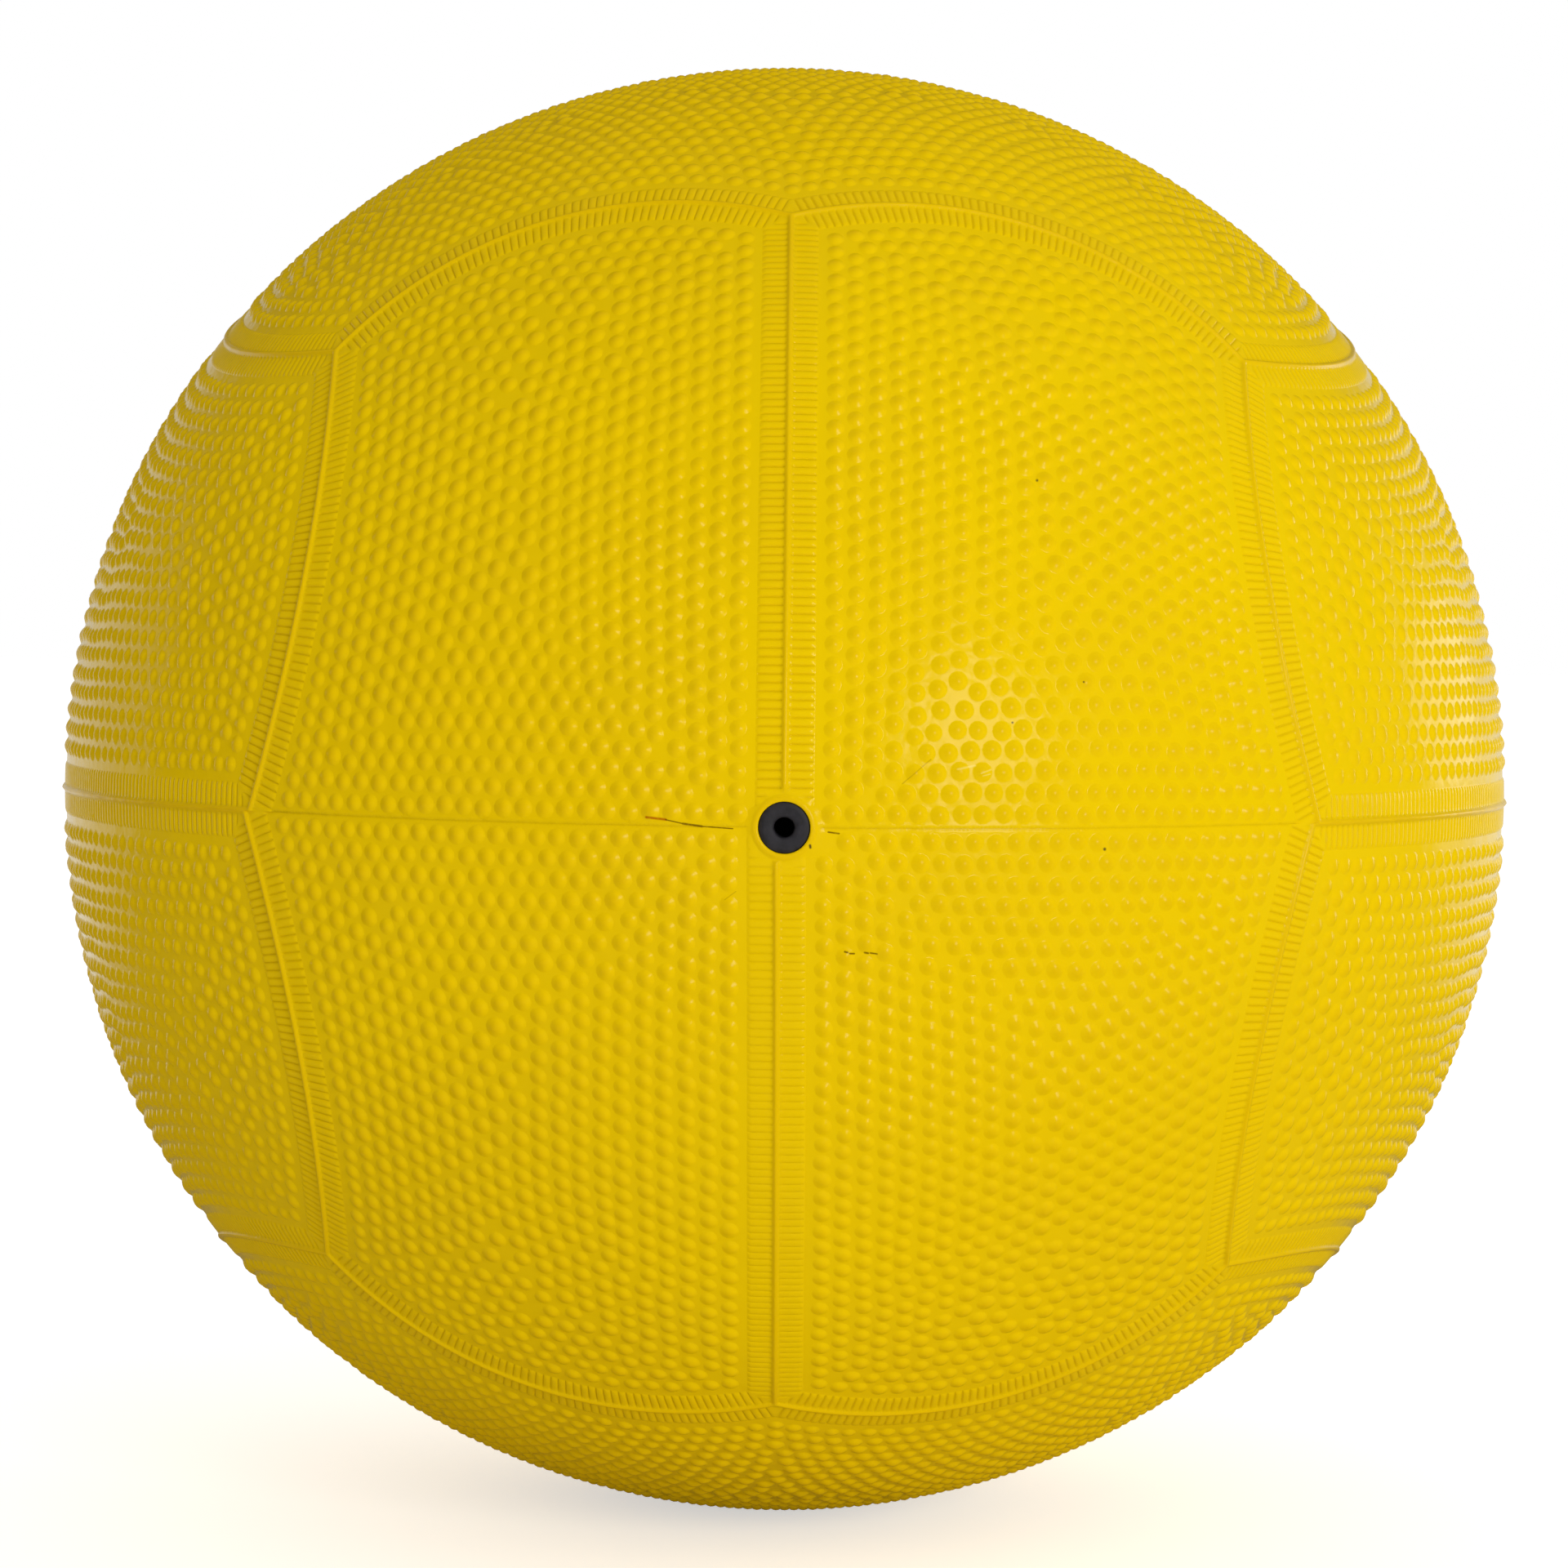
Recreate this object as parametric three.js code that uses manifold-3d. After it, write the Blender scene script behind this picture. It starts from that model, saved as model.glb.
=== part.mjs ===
// Inflatable rubber dodgeball: two moulded cover halves over a wound carcass and a bladder, with a
// needle valve. Millimetres, +Z up, origin at the centre of the ball. The valve faces -Y and the
// mould's parting plane is z = 0.
import * as THREE from "three";
import { mergeVertices } from "three/addons/utils/BufferGeometryUtils.js";
import Module from "manifold-3d";

const wasm = await Module();
wasm.setup();

// Ball and its layers, from the outside in
const BALL_RADIUS = 95.5; // to the tops of the pebbles, 600 mm round the outside
const COVER_WALL = 1.4;
const WINDING_WALL = 0.35;
const BLADDER_WALL = 0.7;
const LAYER_CLEARANCE = 0.3; // between a layer and the next one
const MOULD_TWIST = -0.5; // degrees that the lower half sits round from the upper one

// Seams between the twelve moulded panels. Heights are counted from the tops of the pebbles.
const CENTRE_SEAM_ANGLE = 48.5; // degrees from the middle of a face to the end of its centre seam
const SEAM_BOW = 7.1; // how far a curved seam swells sideways at its middle
const RIDGE_HALF_WIDTH = 0.5;
const RIDGE_HEIGHT = 0.3;
const BAND_HALF_WIDTH = 3.1; // the ribbed band on each side of the ridge
const BAND_DEPTH = 0.1;
const GROOVE_WIDTH = 0.9; // the smooth groove between a band and its panel
const GROOVE_DEPTH = 0.35;
const FLANK_WIDTH = 0.2; // sloping side of the groove

// Valve, a rubber housing with a plug pressed into it
const PLUG_HEAD_RADIUS = 2.67;
const PLUG_HEAD_LENGTH = 1.5;
const PLUG_SHANK_RADIUS = 2.1;
const PLUG_LENGTH = 15;
const PLUG_BULB_RADIUS = 2.9; // the barb that holds the plug in its housing
const PLUG_BULB_LENGTH = 3.2;
const NEEDLE_BORE_RADIUS = 1.15;
const NEEDLE_FUNNEL_LENGTH = 0.9; // where the bore narrows to the slit
const NEEDLE_SLIT_LENGTH = 4; // rubber beyond the bore, with the slit that closes by itself
const PLUG_CLEARANCE = 0.3;
const VALVE_RECESS = 0.3; // from the tops of the pebbles down to the face of the plug
const LIP_WIDTH = 0.8; // raised rubber lip round the valve
const LIP_HEIGHT = 0.15;
const LIP_WALL = 0.8; // cover left over the end of the valve neck
const NECK_WALL = 1.5;
const NECK_CLEARANCE = 0.3;
const FLANGE_REACH = 9.5; // beyond the neck
const FLANGE_WALL = 1.3;
const FLANGE_EDGE = 0.5;
const STEM_WALL = 1.6; // housing below its flange, round the plug
const STEM_CHAMFER = 1;
const STEM_STOP_WIDTH = 0.2; // step that the inner end of the plug stands on

// Facets
const COVER_CELLS = 7; // along each side of a patch of the cover
const LAYER_CELLS = 4; // the same for the smooth layers inside
const ROUND_SEGMENTS = 24;
const FLANGE_RINGS = 3;

// Solids

function toSolid(geometry) {
  const bare = geometry.index ? geometry.toNonIndexed() : geometry.clone();
  bare.deleteAttribute("normal");
  bare.deleteAttribute("uv");
  const merged = mergeVertices(bare, 1e-4);
  return new wasm.Manifold(
    new wasm.Mesh({
      numProp: 3,
      vertProperties: new Float32Array(merged.attributes.position.array),
      triVerts: new Uint32Array(merged.index.array),
    }),
  );
}

function toGeometry(solid) {
  const mesh = solid.getMesh();
  const geometry = new THREE.BufferGeometry();
  geometry.setAttribute("position", new THREE.BufferAttribute(mesh.vertProperties, 3));
  geometry.setIndex(new THREE.BufferAttribute(mesh.triVerts, 1));
  geometry.computeVertexNormals();
  return geometry;
}

// Layout of the seams
//
// The ball is laid out as a cube is. Each of its six faces is split in two by a straight centre
// seam, at right angles to the centre seams of its neighbours, and each pair of faces meets along
// two curved seams. The three coordinate planes and the curved seams divide all this into 24 equal
// patches, three in an octant. The patch made here lies beside +Y. Its sides are half the centre
// seam of the +Y face, a curved seam shared with +Z, a curved seam shared with +X, and a stretch
// of the plane z = 0. Directions are unit vectors.

const faceMiddle = new THREE.Vector3(0, 1, 0);
const corner = new THREE.Vector3(1, 1, 1).normalize();
const seamEndTurn = THREE.MathUtils.degToRad(CENTRE_SEAM_ANGLE);
const seamEnd = new THREE.Vector3(Math.cos(seamEndTurn), Math.sin(seamEndTurn), 0);

// A third of a turn about the corner carries +X to +Z, and the other way it carries +Z to +X.
function backward(v) {
  return new THREE.Vector3(v.z, v.x, v.y);
}

function forward(v) {
  return new THREE.Vector3(v.y, v.z, v.x);
}

function arc(from, to, t) {
  const angle = from.angleTo(to);
  return from
    .clone()
    .multiplyScalar(Math.sin((1 - t) * angle))
    .addScaledVector(to, Math.sin(t * angle))
    .divideScalar(Math.sin(angle));
}

// The curved seam between +X and +Y, from the end of +X's centre seam to the corner. It swells
// towards +Y.
function curvedSeam(t) {
  const aside = new THREE.Vector3().crossVectors(corner, seamEnd).normalize();
  const swell = (SEAM_BOW / BALL_RADIUS) * 4 * t * (1 - t);
  return arc(seamEnd, corner, t).addScaledVector(aside, swell).normalize();
}

// A direction that lies a distance over the ball from the curved seam, positive towards +Y.
function besideCurvedSeam(t, distance) {
  const step = 1e-4;
  const along = curvedSeam(t + step).sub(curvedSeam(t - step));
  const here = curvedSeam(t);
  const aside = new THREE.Vector3().crossVectors(along, here).normalize();
  const angle = distance / BALL_RADIUS;
  return here.multiplyScalar(Math.cos(angle)).addScaledVector(aside, Math.sin(angle));
}

function solve(miss, low, high) {
  const rises = miss(high) > miss(low);
  for (let i = 0; i < 40; i++) {
    const middle = (low + high) / 2;
    if (miss(middle) > 0 === rises) high = middle;
    else low = middle;
  }
  return (low + high) / 2;
}

function stations(count, place) {
  return Array.from({ length: count + 1 }, (unused, i) => place(i / count));
}

// The four sides of the patch on the seams themselves
function outerSides(cells) {
  const shared = stations(cells, curvedSeam);
  const top = shared.map(backward);
  return {
    centre: stations(cells, (t) => arc(faceMiddle, top[0], t)),
    far: top,
    near: shared,
    plane: stations(cells, (t) => arc(faceMiddle, shared[0], t)),
  };
}

// The same four sides moved in by the half width of a seam, mitred where seams meet
function innerSides(cells, inset) {
  const farSeam = (t) => backward(besideCurvedSeam(t, -inset));
  const nearSeam = (t) => besideCurvedSeam(t, inset);
  const aside = Math.sin(inset / BALL_RADIUS);

  const leaving = curvedSeam(1 - 1e-3).sub(corner);
  const across = leaving.clone().sub(backward(leaving)).normalize();
  const farStart = solve((t) => farSeam(t).x - aside, -0.2, 0.5);
  const farEnd = solve((t) => farSeam(t).dot(across), 0.6, 1);
  const nearStart = solve((t) => nearSeam(t).z, -0.1, 0.4);
  const nearEnd = solve((t) => nearSeam(t).dot(across), 0.6, 1);

  const near = stations(cells, (t) => nearSeam(THREE.MathUtils.lerp(nearStart, nearEnd, t)));
  const far = stations(cells, (t) => farSeam(THREE.MathUtils.lerp(farStart, farEnd, t)));
  far[cells].copy(near[cells]);
  near[0].z = 0;
  const start = new THREE.Vector3(aside, Math.sqrt(1 - aside * aside), 0);
  const topAngle = Math.atan2(far[0].z, far[0].y);
  const centre = stations(cells, (t) => {
    const reach = Math.hypot(start.y, start.z);
    return new THREE.Vector3(aside, reach * Math.cos(t * topAngle), reach * Math.sin(t * topAngle));
  });
  centre[cells].copy(far[0]);
  return { centre, far, near, plane: stations(cells, (t) => arc(start, near[0], t)) };
}

// Rows of directions that fill the space between four sides
function filled(sides) {
  const cells = sides.centre.length - 1;
  const rows = [];
  for (let i = 0; i <= cells; i++) {
    const u = i / cells;
    const row = [];
    for (let j = 0; j <= cells; j++) {
      const v = j / cells;
      const point = new THREE.Vector3()
        .addScaledVector(sides.centre[i], 1 - v)
        .addScaledVector(sides.near[i], v)
        .addScaledVector(sides.plane[j], 1 - u)
        .addScaledVector(sides.far[j], u)
        .addScaledVector(sides.plane[0], -(1 - u) * (1 - v))
        .addScaledVector(sides.far[0], -u * (1 - v))
        .addScaledVector(sides.plane[cells], -(1 - u) * v)
        .addScaledVector(sides.far[cells], -u * v);
      row.push(point.normalize());
    }
    rows.push(row);
  }
  return rows;
}

// Half of a seam's section: distance from the middle of the seam, and height
const grooveStart = BAND_HALF_WIDTH + FLANK_WIDTH;
const grooveEnd = grooveStart + GROOVE_WIDTH;
const SEAM_SECTION = [
  [0, RIDGE_HEIGHT],
  [RIDGE_HALF_WIDTH, -BAND_DEPTH],
  [BAND_HALF_WIDTH, -BAND_DEPTH],
  [grooveStart, -GROOVE_DEPTH],
  [grooveEnd, -GROOVE_DEPTH],
  [grooveEnd + FLANK_WIDTH, 0],
];
const SEAM_HALF_WIDTH = grooveEnd + FLANK_WIDTH;

// Points of half a seam, swept between a side of the patch and the same side moved in
function seamStrip(outer, inner, radius) {
  return outer.map((edge, i) =>
    SEAM_SECTION.map(([distance, height]) =>
      edge
        .clone()
        .lerp(inner[i], distance / SEAM_HALF_WIDTH)
        .setLength(radius + height),
    ),
  );
}

// Grids of points that make one patch of the cover's outside, with its seams
function coverPatch(cells, radius) {
  const outer = outerSides(cells);
  const inner = innerSides(cells, SEAM_HALF_WIDTH);
  const panel = filled(inner).map((row) => row.map((v) => v.clone().setLength(radius)));
  return [
    panel,
    seamStrip(outer.centre, inner.centre, radius),
    seamStrip(outer.far, inner.far, radius),
    seamStrip(outer.near, inner.near, radius).reverse(),
  ];
}

function smoothPatch(cells, radius) {
  return [filled(outerSides(cells)).map((row) => row.map((v) => v.clone().setLength(radius)))];
}

// A closed surface from one patch, carried to its 24 places. The faces of each grid are wound so
// that they look away from the centre.
function ball(patch) {
  const corners = [];
  const flips = [1, -1];
  const addTriangle = (a, b, c) => {
    const outward = new THREE.Vector3()
      .crossVectors(b.clone().sub(a), c.clone().sub(a))
      .dot(a);
    corners.push(a, ...(outward > 0 ? [b, c] : [c, b]));
  };
  for (const turn of [(v) => v.clone(), forward, backward]) {
    for (const x of flips) {
      for (const y of flips) {
        for (const z of flips) {
          const place = (v) => turn(v).multiply(new THREE.Vector3(x, y, z));
          for (const grid of patch) {
            const rows = grid.map((row) => row.map(place));
            for (let i = 0; i + 1 < rows.length; i++) {
              for (let j = 0; j + 1 < rows[i].length; j++) {
                addTriangle(rows[i][j], rows[i + 1][j], rows[i + 1][j + 1]);
                addTriangle(rows[i][j], rows[i + 1][j + 1], rows[i][j + 1]);
              }
            }
          }
        }
      }
    }
  }
  return toSolid(new THREE.BufferGeometry().setFromPoints(corners));
}

// Flat facets hold less than the round ball they stand for, so the smooth layers are set out by
// facetFactor and keep their true volume. What lies against the inside of a layer stays within
// innerFactor of its radius, where the middles of its facets are.
const facetFactor = Math.cbrt((4 / 3) * Math.PI / ball(smoothPatch(LAYER_CELLS, 1)).volume());
const innerFactor = facetFactor * nearestFacet(smoothPatch(LAYER_CELLS, 1)[0]);

function nearestFacet(rows) {
  const plane = new THREE.Plane();
  const distances = [];
  for (let i = 0; i + 1 < rows.length; i++) {
    for (let j = 0; j + 1 < rows[i].length; j++) {
      plane.setFromCoplanarPoints(rows[i][j], rows[i + 1][j], rows[i + 1][j + 1]);
      distances.push(Math.abs(plane.constant));
      plane.setFromCoplanarPoints(rows[i][j], rows[i + 1][j + 1], rows[i][j + 1]);
      distances.push(Math.abs(plane.constant));
    }
  }
  return Math.min(...distances);
}

function smoothBall(radius) {
  return ball(smoothPatch(LAYER_CELLS, radius * facetFactor));
}

// A solid turned about the y axis. A profile's points are [radius, height], and heights on the
// valve are distances from the centre of the ball.
function turned(profile) {
  const points = profile.map(([radius, height]) => new THREE.Vector2(radius, height));
  points.push(points[0].clone());
  return toSolid(new THREE.LatheGeometry(points, ROUND_SEGMENTS));
}

// The valve points along -Y in the ball.
const VALVE_TURN = 180; // degrees about x

function cutter(radius, bottom, top) {
  const profile = [
    [0, bottom],
    [radius, bottom],
    [radius, top],
    [0, top],
  ];
  return turned(profile).rotate([VALVE_TURN, 0, 0]);
}

// Radii of the layers
const coverInner = BALL_RADIUS - COVER_WALL;
const windingOuter = coverInner - LAYER_CLEARANCE;
const windingInner = windingOuter - WINDING_WALL;
const bladderOuter = windingInner - LAYER_CLEARANCE;
const bladderInner = bladderOuter - BLADDER_WALL;

// Heights along the valve's axis
const valveFace = BALL_RADIUS - VALVE_RECESS;
const headBottom = valveFace - PLUG_HEAD_LENGTH;
const plugEnd = valveFace - PLUG_LENGTH;
const bulbTop = plugEnd + PLUG_BULB_LENGTH;
const bulbMiddle = plugEnd + PLUG_BULB_LENGTH / 2;
const neckTop = BALL_RADIUS - LIP_WALL - NECK_CLEARANCE;
const slitTop = plugEnd + NEEDLE_SLIT_LENGTH;
const stemBottom = plugEnd - PLUG_CLEARANCE - STEM_CHAMFER;

// Radii of the valve and of what it passes through
const lipBore = PLUG_HEAD_RADIUS + PLUG_CLEARANCE;
const lipOuter = lipBore + LIP_WIDTH;
const neckRadius = lipBore + NECK_WALL;
const neckBore = neckRadius + NECK_CLEARANCE;
const shankBore = PLUG_SHANK_RADIUS + PLUG_CLEARANCE;
const bulbBore = PLUG_BULB_RADIUS + PLUG_CLEARANCE;
const stemRadius = bulbBore + STEM_WALL;
const flangeRadius = neckRadius + FLANGE_REACH;

const flangeSeat = bladderInner * innerFactor - LAYER_CLEARANCE; // radius of the flange's back

// Cover: the ball without its inside, in two halves that meet on the parting plane
const coverShell = ball(coverPatch(COVER_CELLS, BALL_RADIUS)).subtract(smoothBall(coverInner));

const valveLip = turned([
  [lipBore - PLUG_CLEARANCE, neckTop + NECK_CLEARANCE],
  [lipOuter, neckTop + NECK_CLEARANCE],
  [lipOuter, BALL_RADIUS - BAND_DEPTH],
  [lipOuter - LIP_WIDTH / 4, BALL_RADIUS + LIP_HEIGHT * 0.8],
  [lipOuter - LIP_WIDTH / 2, BALL_RADIUS + LIP_HEIGHT],
  [lipBore - PLUG_CLEARANCE, BALL_RADIUS + LIP_HEIGHT],
]).rotate([VALVE_TURN, 0, 0]);
const coverWindow = cutter(lipOuter - LIP_WIDTH / 4, 0, BALL_RADIUS * 2);
const neckSocket = cutter(neckBore, 0, neckTop + NECK_CLEARANCE);
const valveBore = cutter(lipBore, 0, BALL_RADIUS * 2);

function coverHalf(side, twist) {
  const reach = BALL_RADIUS * 3;
  const space = toSolid(new THREE.BoxGeometry(reach, reach, reach).translate(0, 0, (side * reach) / 2));
  return coverShell
    .rotate([0, 0, twist])
    .subtract(coverWindow)
    .add(valveLip)
    .subtract(neckSocket)
    .subtract(valveBore)
    .intersect(space);
}

// Winding and bladder: each one closed layer, with a hole where the valve neck passes through
const neckHole = cutter(neckBore, 0, BALL_RADIUS * 2);
const winding = smoothBall(windingOuter).subtract(smoothBall(windingInner)).subtract(neckHole);
const bladder = smoothBall(bladderOuter).subtract(smoothBall(bladderInner)).subtract(neckHole);

// Housing: neck, curved flange and stem in one moulding, bored to take the plug
const flangeBack = stations(FLANGE_RINGS, (t) => {
  const radius = THREE.MathUtils.lerp(flangeRadius, neckRadius, t);
  return [radius, Math.sqrt(flangeSeat ** 2 - radius ** 2)];
});
const flangeFront = flangeSeat - FLANGE_WALL;
const housingBody = turned([
  [0, stemBottom],
  [stemRadius - STEM_CHAMFER, stemBottom],
  [stemRadius, stemBottom + STEM_CHAMFER],
  [stemRadius, flangeFront - STEM_CHAMFER],
  [stemRadius + STEM_CHAMFER, flangeFront],
  [flangeRadius, flangeBack[0][1] - FLANGE_EDGE],
  ...flangeBack,
  [neckRadius, neckTop],
  [0, neckTop],
]);
const housingBore = turned([
  [0, stemBottom - STEM_CHAMFER],
  [PLUG_SHANK_RADIUS - STEM_STOP_WIDTH, stemBottom - STEM_CHAMFER],
  [PLUG_SHANK_RADIUS - STEM_STOP_WIDTH, plugEnd - PLUG_CLEARANCE],
  [shankBore, plugEnd - PLUG_CLEARANCE],
  [bulbBore, bulbMiddle],
  [shankBore, bulbTop],
  [shankBore, headBottom - PLUG_CLEARANCE],
  [lipBore, headBottom - PLUG_CLEARANCE],
  [lipBore, BALL_RADIUS],
  [0, BALL_RADIUS],
]);
const housing = housingBody.subtract(housingBore);

// Plug: head, shank and barb, with the needle bore down its middle
const plug = turned([
  [0, plugEnd],
  [PLUG_SHANK_RADIUS, plugEnd],
  [PLUG_BULB_RADIUS, bulbMiddle],
  [PLUG_SHANK_RADIUS, bulbTop],
  [PLUG_SHANK_RADIUS, headBottom],
  [PLUG_HEAD_RADIUS, headBottom],
  [PLUG_HEAD_RADIUS, valveFace],
  [NEEDLE_BORE_RADIUS, valveFace],
  [NEEDLE_BORE_RADIUS, slitTop + NEEDLE_FUNNEL_LENGTH],
  [0, slitTop],
]);

// The assembled ball

const yellowRubber = { color: 0xe6c800, roughness: 0.55, metalness: 0 };
const blackRubber = { color: 0x26242a, roughness: 0.8, metalness: 0 };
const bladderRubber = { color: 0x1d1d1f, roughness: 0.6, metalness: 0 };
const nylonThread = { color: 0xd8d2c0, roughness: 0.7, metalness: 0 };

function piece(name, solid, finish) {
  const mesh = new THREE.Mesh(toGeometry(solid), new THREE.MeshStandardMaterial(finish));
  mesh.name = name;
  return mesh;
}

const valve = new THREE.Group();
valve.name = "valve";
valve.rotation.x = THREE.MathUtils.degToRad(VALVE_TURN);
valve.add(
  piece("valve_housing", housing, blackRubber),
  piece("valve_plug", plug, blackRubber),
);

const dodgeball = new THREE.Group();
dodgeball.name = "dodgeball";
dodgeball.add(
  piece("cover_upper", coverHalf(1, 0), yellowRubber),
  piece("cover_lower", coverHalf(-1, MOULD_TWIST), yellowRubber),
  piece("nylon_winding", winding, nylonThread),
  piece("bladder", bladder, bladderRubber),
  valve,
);

export default dodgeball;
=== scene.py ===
"""Looks of an inflatable rubber dodgeball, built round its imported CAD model.

The two cover halves are replaced by the moulded skin itself: ribbed seams, pebbles, the flash on the
parting line and the lip round the valve, all as geometry. Lengths are in millimetres until a mesh is made,
and in metres in the materials and for the camera, the lamps and the floor.
"""

import math

import bpy
import numpy as np
from mathutils import Matrix, Vector
from mathutils.geometry import delaunay_2d_cdt


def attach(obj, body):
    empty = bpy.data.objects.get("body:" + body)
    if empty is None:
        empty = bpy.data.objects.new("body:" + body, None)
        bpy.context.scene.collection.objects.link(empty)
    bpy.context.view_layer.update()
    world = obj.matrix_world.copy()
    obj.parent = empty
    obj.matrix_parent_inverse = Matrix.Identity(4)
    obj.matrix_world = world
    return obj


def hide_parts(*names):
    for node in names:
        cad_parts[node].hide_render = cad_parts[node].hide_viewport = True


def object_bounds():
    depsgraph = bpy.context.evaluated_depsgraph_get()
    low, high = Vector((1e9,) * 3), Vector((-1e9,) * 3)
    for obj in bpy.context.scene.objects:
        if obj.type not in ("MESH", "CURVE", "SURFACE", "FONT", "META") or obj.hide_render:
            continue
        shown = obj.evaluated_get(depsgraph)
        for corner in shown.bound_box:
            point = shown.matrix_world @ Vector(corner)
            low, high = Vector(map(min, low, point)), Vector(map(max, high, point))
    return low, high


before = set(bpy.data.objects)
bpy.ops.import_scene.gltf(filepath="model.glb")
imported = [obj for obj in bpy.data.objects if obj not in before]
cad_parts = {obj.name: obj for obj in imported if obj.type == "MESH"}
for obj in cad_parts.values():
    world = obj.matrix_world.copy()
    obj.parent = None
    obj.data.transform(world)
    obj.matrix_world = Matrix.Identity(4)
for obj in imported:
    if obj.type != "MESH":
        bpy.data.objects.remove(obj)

cad_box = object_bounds()
MM = 0.001
TINY = 1e-9  # below this, a length or a coordinate counts as none

# Ball, as in the CAD source
RADIUS = 95.5  # of the CAD cover. Heights are measured from it
CENTRE_SEAM_ANGLE = math.radians(48.5)
SEAM_BOW = 7.1
INNER_RADIUS = 94.5  # back of the skin, clear of the layer under it
LOWER_TWIST = (-0.25, -0.3, 30.0)  # degrees, degrees more at the parting line, how far that reaches

# Seams. Distances are measured from the middle of a seam.
RIB_PITCH = 1.0
RIDGE_LINES = (0.0, 0.12, 0.25, 0.37)  # distances of the lines of points on the ridge
BAND_LINES = (0.46, 0.8, 1.5, 2.15, 2.8, 3.08, 3.22)  # and on the ribbed band beside it
FOOT_LINE = 3.38  # where the skin between pebbles starts
RIDGE_STATIONS = (0.0, 0.5)  # places of the points in a rib's pitch, from the middle of a groove
BAND_STATIONS = (0.0, 0.1, 0.2, 0.5, 0.8, 0.9)
FLOOR = -0.38  # height of the skin between pebbles
SECTION = (  # distance, height
    (0.0, 0.12), (0.12, 0.1), (0.25, 0.02), (0.37, -0.1), (0.46, -0.18),
    (0.8, -0.18), (2.8, -0.19), (3.08, -0.25), (3.22, -0.31), (FOOT_LINE, FLOOR),
)
GROOVE_DEPTH = 0.23  # between ribs
# Shares of that depth, by distance and by share of a rib's pitch
GROOVE_ALONG = ((0.37, 0.0), (0.46, 0.6), (0.8, 1.0), (3.08, 1.0), (3.22, 0.6), (FOOT_LINE, 0.0))
GROOVE_ACROSS = ((0.0, 1.0), (0.1, 0.48), (0.2, 0.18), (0.5, 0.0))
MITRE_GAP = 0.12  # from the last station to the mitre
MITRE_FADE = 0.4  # length over which the grooves run out there
RIDGE_FOOT_SHADE = 0.5  # painted shade at the foot of a ridge, from 0 to 1
FLASH_HEIGHT = 0.08  # thin fin that the mould left on the level seams
FLASH_WAVES = ((0.9, 0.0), (0.37, 1.0), (2.3, 2.0), (0.13, 0.5))  # how fast each turns, where it starts
FLASH_SHIFT = 31  # how much further along its waves each next panel starts
FLASH_CONTRAST = 2.5

# Searches along the sides of a patch
SIDE_POINTS = 2401
SPARE_TURN = 0.12  # how far the points of a round side run past its ends
SPARE_SHARES = (-0.15, 1.12)  # first and last share of a bowed side
DISTANCE_STEP = 8  # points skipped where the nearest one is looked for
CROSSING_POINTS = 400
CORNER_SEARCH = (-12, 4)  # lengths between which a crossing is looked for, from CORNER
NEAR_SEARCH = (-4, 8)  # and from the other end of each bowed seam
FAR_SEARCH = (-6, 8)
SHORT_OF_CORNER = 0.5  # where the mitre's direction is taken

# Pebbles
PEBBLE_RADIUS = 1.28
PEBBLE_HEIGHT = 0.5
PEBBLE_SHAPE = 1.5  # 1 is a plain dome, and more spreads its foot
LEAST_RADIUS = 0.7  # beside the valve
LOWER_WHEN_SMALL = 1.5  # power of a pebble's radius that its height follows
RADIUS_SCATTER = 0.03
PEBBLE_GAP = 0.03  # to the foot of the next one
EDGE_GAP = 0.1  # to a seam or the valve's lip
PEBBLE_RINGS = ((0.33, 6), (0.62, 9), (0.86, 12), (1.0, 12))  # share of the radius, points
RING_TURN = 2.4  # from one pebble to the next
FOOT_LEFT = 0.002  # share of the height that is left where the slope at the foot is taken

# Rows of pebbles
PEBBLE_PITCH = 2.46  # along a row
ROW_PITCH = 2.42
FIRST_ROW = 5.38  # from the middle of a seam
FIRST_ROW_AT_PARTING = 1.6
MOST_ROWS = 30
ROW_NUMBERS = (-80, 120)  # of the pebbles tried along a row
ROW_POINTS = 1500
ROW_PAST_END = 1.05  # times a side's length
END_SLACK = 0.02
ROW_SLACK = 0.05
PLACED_APART = 0.88  # least distance from the pebbles placed before, as a share of PEBBLE_PITCH
FILLED_APART = 0.9  # of a pebble that fills a gap
LEFT_APART = 0.8  # and after the scatter
FILLS = 3  # times that gaps are filled
FILL_TRIALS = 4000
FILL_REACH = 2.6
FILL_FROM = 0.3  # rows from the side
FILL_BEST = 300
PEBBLE_SCATTER = 0.07
ITSELF = 99  # stands for the distance of a pebble from itself

# Settling of the pebbles
SETTLE_FIRST, SETTLE_AFTER_FILL = 24, 16  # how many moves
SETTLE_REACH = PEBBLE_PITCH * 1.16
SETTLE_SHARE = 0.4
FIXED_ROWS, FREEING_ROWS = 0.6, 2.0  # rows that stay, and over which the rest come free
NEIGHBOURS = 10
NEIGHBOURS_LAST = 8  # moves until they are looked for again
LEAST_GAP = 1e-3

# Parting line
BEAD_LINES = ((0.0, -0.12), (0.11, 0.1), (0.3, 0.08), (0.5, 0.0))  # distance, height over FLOOR
BEAD_STEP = 0.5
LOWER_BEAD_SHARE = 0.3  # height of the lower half's edge against the upper one's
BEAD_ROUGHNESS = 0.35
BEAD_WAVES = ((1.3, 1.0), (0.43, 2.3), (3.1, 0.7), (0.11, 1.0))  # how fast each turns, its start by panel
# painted shade in the crease under the fin, and how much it changes along it
BEAD_SHADE, BEAD_SHADE_CHANGE = 0.75, 0.5

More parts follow.
